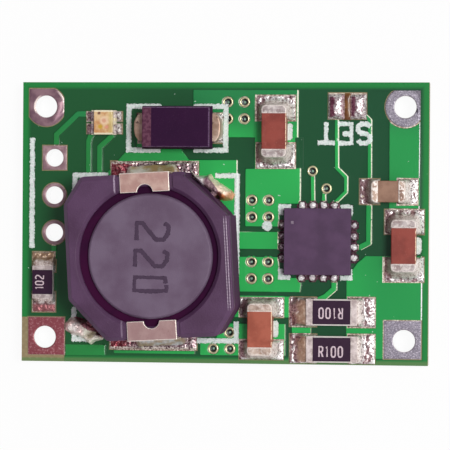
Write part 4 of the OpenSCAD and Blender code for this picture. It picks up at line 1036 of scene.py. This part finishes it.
rear_lead = tinned("input_tin", [
    (-2.06, 3.17), (-1.6, 2.88), (-1.31, 2.88), (-1.02, 2.91), (-0.79, 3.01), (-0.6, 2.7), (-0.03, 2.31),
    (0.48, 2.0), (0.72, 1.72), (0.54, 1.4), (0.08, 1.33), (-0.3, 1.4), (-0.8, 1.5), (-1.3, 2.1),
    (-1.6, 2.55)], [
    [(-2.1, 3.12, 0.9, 0.3), (-1.5, 2.72, 1.15, 0.42), (-0.9, 2.5, 1.2, 0.5), (-0.2, 2.1, 1.42, 0.56),
     (0.1, 1.9, 1.1, 0.56), (0.5, 1.6, 0.7, 0.5)]], 0.1, 2)
front_lead = tinned("output_tin", [
    (-9.75, -6.27), (-9.45, -5.9), (-9.14, -5.84), (-8.1, -6.1), (-7.3, -6.9), (-7.42, -7.19),
    (-7.91, -7.31), (-8.15, -7.53), (-8.4, -7.37), (-8.52, -7.25), (-8.95, -7.01), (-9.45, -6.85),
    (-9.75, -6.64)], [
    [(-8.07, -6.18, 1.5, 0.5), (-8.6, -6.62, 0.95, 0.5), (-9.2, -6.4, 0.85, 0.5), (-9.6, -6.42, 0.5, 0.4)],
    [(-8.4, -7.25, 0.35, 0.3), (-8.1, -7.3, 0.55, 0.3), (-7.75, -7.1, 0.6, 0.3), (-7.45, -7.1, 0.4, 0.3)]],
    0.28, 5)
skin, place, cloud, fine = finish("tinned_wire", (1.4, 3.0), (7.0, 3.0))
x, y, _ = axes(place)
over = 0.59 * x + 0.807 * y + 0.12 * cloud
along = 0.807 * x - 0.59 * y + 0.1 * cloud
# Painted highlight and reflection: the rear lead is mauve on its left side and cream on its upper right
# side, and its strand near-white.
mauve = mix(ramp(fine, 0.4, 0.65), (140, 108, 118), (190, 162, 164))
warm = mix(ramp(over + 0.32 * along, 1.06, 1.14), mauve, (255, 232, 206))
warm = mix(ramp(x, -1.0, -1.2), warm, mix(ramp(fine, 0.4, 0.5), (236, 200, 190), (255, 255, 250)))
brown = mix(ramp(along, -1.05, -0.85), (112, 56, 44), (246, 150, 82))
warm = mix(ramp(along, -1.35, -1.15) * ramp(over, 1.6, 1.42), warm, brown)
warm = mix(ramp(along, -0.85, -0.6) * 0.9, warm, (232, 164, 116))
from_ring = 0.555 * x + 0.832 * y + 0.2 * fine
shade = ramp(from_ring, -9.96, -9.86)
rosy = mix(ramp(cloud, 0.35, 0.65), (250, 212, 204), (255, 248, 240))
rosy = mix(ramp(x + 0.3 * fine, -8.45, -8.2), rosy, (250, 244, 226))
rosy = mix(shade, rosy, mix(ramp(fine, 0.45, 0.7), (112, 46, 62), (176, 108, 116)))
tin = mix(ramp(x, -6, -4), rosy, warm)
tin = mix(ramp(fine, 0.62, 0.7) * 0.5, tin, (120, 70, 66))
wire_tin = wear(skin, tin, 0.24 + 0.16 * fine, fine, 0.03, metallic=0.2)
dress(wire_tin, "inductor_lead_wires")
keep(join("inductor_lead_joints", [rear_lead, front_lead]), wire_tin, "solder", "inductor_solder")

# %% [markdown]
# ## Diode
# A black moulded block with a drafted waist, a flat tinned lead folded under each end and a paler band
# for the cathode. The band is printed, so it is a stripe in the finish of the body.

# %% Diode
body = copy_of("diode_block", "diode_body")
low, high = [Vector(corner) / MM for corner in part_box("diode_body")]
waist = (low.z + high.z) / 2
print("long upper edges of the diode:", pick(body, "EDGE", lambda edge: edge.calc_length() > 0.5
      and min(vert.co.z for vert in edge.verts) > waist - 0.3
      and max(vert.co.z for vert in edge.verts) > high.z - 0.01 and edge.calc_face_angle(0) > 0.5))
bpy.ops.mesh.bevel(offset=0.07, segments=3, affect="EDGES")
leave_edit()
smooth(body, 60)
skin, place, fine, cloud = finish("diode_resin", (16.0, 3.0), (0.8, 3.0))
x, _, z = axes(place)
stripe = ramp(x, -4.8, -4.75) * ramp(x, -4.19, -4.24) * ramp(z, 3.3, 3.5)
right, rear, _ = turned(place)
black = mix(cloud, (40, 4, 44), (50, 10, 52))
black = mix(ramp(fine, 0.6, 0.75) * 0.3, black, (84, 50, 84))
black = mix(stripe * 0.9, black, mix(ramp(spots(place, 5.0), 0.4, 0.6), (88, 46, 66), (112, 70, 88)))
# Painted highlight: the upper edges facing right, front or rear are paler.
edge_highlight = ramp(z, 3.5, 3.6) * ramp(fine, 0.35, 0.5) * ramp(abs(rear).most(right), 0.2, 0.5)
black = mix(edge_highlight * 0.6, black, (130, 102, 136))
wall = ramp(z, 3.7, 3.5)
resin = wear(skin, mix(wall * 0.8, black, (54, 16, 54)), 0.42 + 0.16 * fine + 0.4 * wall,
             fine * 0.5 + cloud, 0.012, shine=0.14)
keep(body, resin, "diode_resin", "diode_body")

leads = copy_of("diode_leads", "diode_cathode_lead", "diode_anode_lead")
pick(leads, "VERT", lambda vert: True)
bpy.ops.mesh.remove_doubles(threshold=0.02)
leave_edit()
across = pick(leads, "EDGE", lambda edge: abs(edge.verts[0].co.y - edge.verts[1].co.y) > 1)
bpy.ops.mesh.subdivide(number_cuts=13)
leave_edit()
middle = (low.y + high.y) / 2
# Half the width of a lead, in the frame and in the picture
LEAD_HALF, FLARED_HALF = 0.75, 0.84
for vert in leads.data.vertices:
    off = (vert.co.y - middle) / LEAD_HALF
    wall = min(max(vert.co.x, low.x), high.x)
    vert.co.x = wall + (vert.co.x - wall) * (1.2 - 0.75 * abs(off) ** 3)
    vert.co.y = middle + FLARED_HALF * off
print("long edges of the leads:", across)
soften(leads, 0.06, 3, 50)
skin, _, cloud, fine = finish("dull_tin", (1.3, 4.0), (6.0, 3.0))
dull = mix(ramp(cloud, 0.35, 0.65), (164, 132, 112), (212, 188, 168))
dull = mix(ramp(fine, 0.64, 0.7) * 0.8, dull, (70, 44, 46))
dull_tin = wear(skin, dull, 0.3 + 0.2 * cloud, cloud + fine * 0.4, 0.03, metallic=0.5)
keep(leads, dull_tin, "lead_metal", "diode_cathode_lead", "diode_anode_lead")

# %% [markdown]
# ## Chip capacitors
# Each is a block of fired ceramic with silvered ends. The ceramic is brick brown and faintly mottled,
# paler on the small one. The ends are dipped, so they are dull and round at the corners. A block of the
# right size gets its upright edges rounded widely at the outside, then all its edges a little.

# %% Ceramics
def ceramic(name, dull, bright):
    skin, place, cloud, fine = finish(name, (1.2, 3.0), (14.0, 3.0))
    brick = mix(ramp(cloud, 0.35, 0.65), dull, bright)
    brick = mix(ramp(fine, 0.62, 0.75) * 0.25, brick, (196, 150, 132))
    lit = rounded(place) * ramp(turned(place)[0], 0.15, 0.4) * ramp(spots(place, 5.0), 0.35, 0.5)
    brick = mix(lit * 0.9, brick, (255, 226, 190))
    return wear(skin, brick, 0.34 + 0.2 * fine, fine * 0.4 + cloud, 0.012, shine=0.3)


def block(name, low, high, radius, outer):
    """A block whose upright edges are rounded where the test says they lie on the outside."""
    bpy.ops.object.select_all(action="DESELECT")
    bpy.ops.mesh.primitive_cube_add(size=1, location=(low + high) / 2)
    piece = bpy.context.object
    piece.name = name
    piece.data.name = name
    piece.scale = high - low
    bpy.ops.object.transform_apply(location=True, rotation=True, scale=True)
    pick(piece, "EDGE", lambda edge: abs(edge.verts[0].co.z - edge.verts[1].co.z) > 0.1
         and outer(edge.verts[0].co))
    bpy.ops.mesh.bevel(offset=radius, segments=6, affect="EDGES")
    leave_edit()
    return piece


brick_red = ceramic("brick_red_ceramic", (134, 58, 48), (152, 70, 58))
brick_orange = ceramic("brick_orange_ceramic", (158, 80, 60), (180, 98, 76))
tan = ceramic("tan_ceramic", (140, 106, 86), (162, 126, 104))
for part, stuff, slot in [("input", brick_red, "red_ceramic"), ("battery", brick_red, "red_ceramic"),
                          ("output", brick_orange, "orange_ceramic"), ("bypass", tan, "tan_ceramic")]:
    low, high = [Vector(corner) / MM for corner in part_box(part + "_capacitor_body")]
    body = block(part + "_ceramic", low, high, 0.27, lambda spot: True)
    soften(body, 0.06, 3)
    keep(body, stuff, slot, part + "_capacitor_body")

# %% Silvered ends
def silvered(name, dull, bright, streak_highlights):
    skin, place, cloud, fine = finish(name, (2.2, 4.0), (12.0, 3.0))
    silver = mix(ramp(cloud, 0.35, 0.65), dull, bright)
    silver = mix(ramp(fine, 0.58, 0.72) * 0.4, silver, (136, 112, 106))
    # Painted highlights: pale streaks on the ends, and below pale rims along their rounded edges.
    silver = mix(ramp(spots(place, 5.0, 2.0), 0.52, 0.6) * streak_highlights, silver, (255, 248, 240))
    lip = rounded(place) * ramp(fine, 0.3, 0.5)
    silver = mix(lip * 0.6, silver, (255, 246, 236))
    return wear(skin, silver, 0.36 + 0.2 * cloud, cloud + fine * 0.5, 0.025, metallic=0.6 - 0.5 * lip)


end_silver = silvered("end_silver", (150, 134, 131), (190, 180, 177), 0.3)
warm_silver = silvered("warm_silver", (172, 146, 130), (212, 192, 176), 0.3)
tan_silver = silvered("tan_silver", (150, 122, 106), (196, 170, 152), 0.8)
slip_silver = silvered("slip_silver", (176, 160, 156), (214, 202, 198), 0.2)
for part in ("input", "battery", "output", "bypass"):
    node = part + "_capacitor_terminals"
    low, high = [Vector(corner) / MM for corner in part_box(node)]
    along = 0 if high.x - low.x > high.y - low.y else 1
    middle = (low[along] + high[along]) / 2
    band = min(abs(vert.co[along] / MM - middle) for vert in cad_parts[node].data.vertices)
    pair = []
    for end in (-1, 1):
        foot, head = low.copy(), high.copy()
        if end < 0:
            head[along] = middle - band
        else:
            foot[along] = middle + band
        pair.append(block(part + "_silver_ends", foot, head, 0.3,
                          lambda spot: (spot[along] - middle) * end > band + 0.1))
    ends = join(part + "_silver_ends", pair)
    soften(ends, 0.1, 4)
    metal = {"output": warm_silver, "bypass": tan_silver}.get(part, end_silver)
    keep(ends, metal, "end_metal", node)

# %% [markdown]
# ## Chip resistors
# A white slip of alumina with silvered ends, and a black glaze over the resistive film on top.

# %% Resistors
alumina = cloudy("alumina", 3.0, (204, 196, 190), (230, 226, 220), 0.5, 0.01)
skin, _, cloud, fine = finish("black_glaze", (1.4, 3.0), (15.0, 2.0))
black = mix(cloud, (40, 14, 42), (58, 30, 54))
glaze = wear(skin, black, 0.25 + 0.15 * fine, cloud + fine * 0.3, 0.01, shine=0.3)
for part in ("upper_sense", "lower_sense", "led"):
    dress(alumina, part + "_resistor_substrate")
    coat = copy_of(part + "_glaze", part + "_resistor_overcoat")
    low, high = [[v / MM for v in corner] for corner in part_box(part + "_resistor_overcoat")]
    if part == "led":
        middle = Vector(((low[0] + high[0]) / 2, 0, 0))
        stretch = Matrix.Scale(1.13, 4, (1, 0, 0))
        coat.data.transform(Matrix.Translation(middle) @ stretch @ Matrix.Translation(-middle))
    soften(coat, 0.04, 3)
    keep(coat, glaze, "overcoat", part + "_resistor_overcoat")
    ends = copy_of(part + "_resistor_ends", part + "_resistor_terminals")
    soften(ends, 0.02, 2)
    keep(ends, slip_silver, "end_metal", part + "_resistor_terminals")

# %% [markdown]
# ## Charger chip
# A flat moulded square without legs: the ends of its leads lie flush in the sides, and a little solder
# stands against each. The top is satin with very fine moulding texture.

# %% Chip
body = copy_of("chip_block", "charger_chip_body")
soften(body, 0.035, 2)
skin, _, cloud, fine = finish("chip_resin", (0.9, 3.0), (20.0, 3.0))
satin = mix(ramp(cloud, 0.3, 0.7), (72, 46, 76), (86, 58, 90))
satin = mix(ramp(fine, 0.62, 0.78) * 0.25, satin, (128, 112, 130))
chip_resin = wear(skin, satin, 0.42 + 0.18 * fine, fine * 0.5 + cloud, 0.008, shine=0.35)
keep(body, chip_resin, "chip_resin", "charger_chip_body")

# %% Drops of solder at the chip's leads
# Middle of the chip, and the pitch of its leads
CHIP_X, CHIP_Y = 5.8, -1.1
PITCH = 0.66
skin, place, cloud, fine = finish("lead_tin", (2.0, 4.0), (8.0, 3.0))
x, y, z = axes(place)
shady = ramp(x, 3.8, 3.7).most(ramp(x, 7.75, 7.85) * ramp(y, -1.2, -1.0) * 0.7)
top = ramp(z + 0.08 * fine - 0.04 * shady, 1.69, 1.76)
white = mix(ramp(cloud, 0.3, 0.6), (226, 210, 214), (255, 252, 252))
white = mix(shady * ramp(fine, 0.42, 0.56), white, (120, 84, 104))
# Painted shade and dark reflection: the low metal round the chip, between the drops, is wine dark.
wine = mix(ramp(fine, 0.4, 0.6), (62, 26, 44), (112, 70, 86))
lead_tin = wear(skin, mix(top, wine, white), 0.26 + 0.1 * cloud, cloud + fine * 0.5, 0.02,
                metallic=0.25)
dress(lead_tin, "charger_chip_leads", "charger_chip_thermal_pad")
pools = []
for side in range(4):
    for i in range(4):
        across = (i - 1.5) * PITCH
        way = Matrix.Rotation(side * math.pi / 2, 2)
        middle = Vector((CHIP_X, CHIP_Y)) + way @ Vector((2.2, across))
        reach = way @ Vector((0.3, 0.32))
        low = (middle.x - abs(reach.x), middle.y - abs(reach.y))
        high = (middle.x + abs(reach.x), middle.y + abs(reach.y))

        def height(x, y):
            here = way.inverted() @ (Vector((x, y)) - middle)
            film = inside(here.x, here.y, (-0.3, -0.31), (0.12, 0.31), 0.08)
            off = here.length / 0.25 + 0.3 * lump(x, y, 0.15, side * 4 + i)
            return max(0.03 * rim(film, 0.05), 0.25 * (1 - off * off))

        pools.append(pool("chip_joints", low, high, height, 0.03, 0.05))
keep(join("chip_joints", pools), lead_tin, "solder", "charger_chip_solder")

# %% [markdown]
# ## LED
# Two small dies under a block of clear resin on a pale carrier. The resin is honey coloured and the gold
# pads shine through it, so the block is amber with pale patches.

# %% LED
dress(cloudy("led_carrier", 3.0, (214, 204, 180), (236, 230, 212), 0.45, 0.01), "led_substrate")
dress(cloudy("led_die", 6.0, (150, 170, 150), (210, 220, 190), 0.3, 0.005), "led_dies")
skin, place, cloud, fine = finish("led_pads", (3.0, 3.0), (8.0, 4.0))
x, y, _ = axes(place)
grey = mix(ramp(cloud, 0.35, 0.65), (150, 128, 136), (232, 222, 216))
grey = mix(ramp(fine, 0.5, 0.6) * 0.8, grey, (84, 50, 56))
grey = mix(ramp(x, -7.2, -7.0) * ramp(abs(y - 6.2), 0.24, 0.16), grey, (238, 228, 190))
pads = wear(skin, grey, 0.25 + 0.2 * cloud, cloud, 0.02, metallic=0.6)
dress(pads, "led_terminals")
lens = copy_of("led_block", "led_lens")
soften(lens, 0.05, 3)
skin, place, cloud, fine = finish("led_resin", (2.6, 3.0), (7.0, 3.0))
x, y, _ = axes(place)


def patch(x0, y0, size):
    return ramp(((x - x0) ** 2.0 + (y - y0) ** 2.0) ** 0.5 + 0.12 * fine, size + 0.06, size * 0.6)


honey = mix(ramp(cloud, 0.38, 0.64), (212, 154, 100), (238, 204, 152))
honey = mix(ramp(x, -7.15, -6.95) * 0.6, honey, (214, 200, 122))
honey = mix(patch(-7.36, 6.22, 0.36) * 0.8, honey, (252, 222, 186))
honey = mix(patch(-7.36, 6.22, 0.2) * 0.8, honey, (222, 158, 126))
honey = mix(patch(-7.66, 6.68, 0.16), honey, (124, 74, 52))
honey = mix(patch(-7.58, 5.84, 0.22), honey, (212, 168, 52))
honey = mix(patch(-7.2, 5.84, 0.16) * 0.8, honey, (236, 160, 140))
honey = mix(ramp(abs(y - 6.11) + 0.06 * fine, 0.64, 0.7), honey, (250, 240, 204))
amber = wear(skin, honey, 0.15 + 0.2 * cloud, cloud, 0.02, coat=0.4)
keep(lens, amber, "led_resin", "led_lens")

# %% [markdown]
# ## Printed legend and codes
# The white legend is ink pressed through a screen, so its lines have slightly ragged edges and it lies
# over the steps of the mask. The inductor and the resistors carry their values in the same way. Each
# print is first a thick shape: the tops of the legend's solids made solid, or letters drawn as fat lines.
# A remesh melts it into one skin of even facets, a noise of fixed seed frays the edge, and every point is
# then pressed flat on the surface below it.

# %% Tools for print
# Strokes of each sign, in a cell one wide and one high
GLYPHS = {
    "0": [[(0.45, 0.97), (0.12, 0.96), (0.08, 0.04), (0.9, 0.02), (0.95, 0.5), (0.9, 1), (0.55, 1)]],
    "O": [[(0.5, 1), (0.2, 0.97), (0, 0.82), (0, 0.18), (0.2, 0.03), (0.5, 0), (0.8, 0.03), (1, 0.18),
           (1, 0.82), (0.8, 0.97), (0.5, 1)]],
    ".": [[(0, 0), (1, 0)]],
    "1": [[(0.1, 0.85), (0.6, 1), (0.6, 0)]],
    "2": [[(0.07, 0.86), (0.24, 1), (0.65, 0.97), (0.97, 0.84), (0.97, 0.6), (0.07, 0.18), (0.05, 0),
           (1, 0)]],
    "R": [[(0, 0), (0, 1), (0.65, 1), (0.95, 0.9), (0.95, 0.62), (0.65, 0.5), (0, 0.5)],
          [(0.5, 0.5), (1, 0)]],
    "S": [[(0.95, 0.85), (0.75, 0.98), (0.3, 1), (0.05, 0.85), (0.05, 0.65), (0.3, 0.52), (0.7, 0.48),
           (0.95, 0.35), (0.95, 0.12), (0.7, 0), (0.25, 0), (0.03, 0.13)]],
    "E": [[(1, 1), (0, 1), (0, 0), (1, 0)], [(0, 0.5), (0.66, 0.5)]],
    "T": [[(0, 1), (1, 1)], [(0.5, 1), (0.5, 0)]],
}
FRAY_SEED = 3
noise.seed_set(FRAY_SEED)


def letters(name, width, signs):
    """Fat lines round the plane z = 0. A sign is a glyph, its corner, and its way along and up."""
    path = bpy.data.curves.new(name, "CURVE")
    path.dimensions = "3D"
    path.bevel_depth = width / 2
    path.bevel_resolution = 3
    path.use_fill_caps = True
    for glyph, corner, along, up in signs:
        for line in GLYPHS[glyph]:
            run = path.splines.new("POLY")
            run.points.add(len(line) - 1)
            for point, (u, v) in zip(run.points, line):
                point.co = (*(Vector(corner) + u * Vector(along) + v * Vector(up)), 0, 1)
    piece = bpy.data.objects.new(name, path)
    bpy.context.collection.objects.link(piece)
    alone(piece)
    bpy.ops.object.convert(target="MESH")
    return bpy.context.object


# Half the thickness of the ink, and the size of the teeth along its edge
INK, TOOTH = 0.012, 0.07


def press(piece, cell, fray, surface):
    """Melts a thick print, frays its edge, and presses it flat on the surface below."""
    apply(piece, "REMESH", mode="VOXEL", voxel_size=cell)
    for vert in piece.data.vertices:
        edge = noise.noise_vector(vert.co / TOOTH) * fray
        x, y = vert.co.x + edge.x, vert.co.y + edge.y
        vert.co = (x, y, surface(x, y) + INK * min(max(vert.co.z / 0.04, -1), 1))
    smooth(piece, 40)
    return piece


# %% Ink, and the legend on the board
skin, _, cloud, fine = finish("white_ink", (2.0, 3.0), (10.0, 3.0))
ink = wear(skin, mix(ramp(fine, 0.35, 0.6), (212, 232, 220), (240, 246, 242)),
           0.55 + 0.2 * cloud, fine, 0.012)
legend = copy_of("legend_print", "top_legend")
pick(legend, "FACE", lambda face: face.normal.z < 0.9 or face.verts[0].co.z < 1.61)
bpy.ops.mesh.delete(type="FACE")
leave_edit()
legend.data.transform(Matrix.Translation((0, 0, 0.15 - 1.62)))
apply(legend, "SOLIDIFY", thickness=0.3, offset=-1)
pick(legend, "VERT", lambda vert: 7.2 < vert.co.x < 8.8 and 1.1 < abs(vert.co.y - CHIP_Y) < 2.7)
bpy.ops.transform.translate(value=(-0.14, 0, 0))
leave_edit()
pick(legend, "VERT", lambda vert: 3 < vert.co.x < 8.8 and 1.1 < vert.co.y - CHIP_Y < 2.7)
bpy.ops.transform.translate(value=(0, -0.08, 0))
leave_edit()
curvy = letters("set_letters", 0.31, [("S", (8.95, 6.07), (-0.8, 0), (0, -1.18)),
                                      ("E", (7.79, 6.07), (-0.8, 0), (0, -1.18))])
straight = letters("tee", 0.25, [("T", (6.76, 6.16), (-1.04, 0), (0, -1.24))])
skins = BVHTree.FromObject(mask, bpy.context.evaluated_depsgraph_get())


def on_mask(x, y):
    hit = skins.ray_cast(Vector((x, y, 9)) * MM, Vector((0, 0, -1)))[0]
    return hit.z / MM if hit else HIGH


legend = join("legend_print", [legend, curvy, straight])
keep(press(legend, 0.04, 0.08, on_mask), ink, "legend_ink", "top_legend")

# %% Codes on the parts
# Heights of the print on each part
CORE_TOP, CHIP_TOP, SENSE_TOP, LED_RESISTOR_TOP = 5.345, 2.425, 2.175, 2.125
burnt = cloudy("burnt_mark", 2.0, (54, 32, 58), (70, 46, 74), 0.5, 0.01)
grey = cloudy("pin_dot", 4.0, (122, 104, 122), (150, 134, 150), 0.5, 0.005)
pale = cloudy("pale_ink", 4.0, (196, 176, 190), (234, 214, 214), 0.6, 0.005)


def code(name, width, cell, fray, level, ink, slot, signs):
    """Letters pressed on a level face."""
    keep(press(letters(name, width, signs), cell, fray, lambda x, y: level), ink, slot)


code("inductor_value", 0.28, 0.04, 0.05, CORE_TOP, burnt, "ferrite_core", [
    ("2", (-4.815, 0.035), (0, -1.095), (1.945, 0)),
    ("2", (-4.9, -1.624), (0, -1.018), (1.97, 0)),
    ("0", (-4.99, -3.197), (0, -0.978), (2, 0))])
code("chip_pin_dot", 0.19, 0.02, 0.02, CHIP_TOP, grey, "legend_ink", [
    (".", (4.21, 0.05), (0.15, 0), (0, 0))])
code("led_resistor_value", 0.085, 0.02, 0.015, LED_RESISTOR_TOP, pale, "legend_ink", [
    ("1", (-11.05, -4.14), (0, 0.15), (-0.5, 0)),
    ("O", (-11.05, -3.88), (0, 0.22), (-0.5, 0)),
    ("2", (-11.05, -3.52), (0, 0.22), (-0.5, 0))])
sense_code = [("R", 0, 0.23), ("1", 0.42, 0.12), ("O", 0.75, 0.24), ("O", 1.17, 0.24)]
for name, corner, way in [("lower_sense_value", (5.94, -8.09), 1),
                          ("upper_sense_value", (7.34, -5.13), -1)]:
    code(name, 0.1, 0.02, 0.015, SENSE_TOP, pale, "legend_ink", [
        (glyph, (corner[0] + way * start, corner[1]), (way * wide, 0), (0, way * 0.62))
        for glyph, start, wide in sense_code])
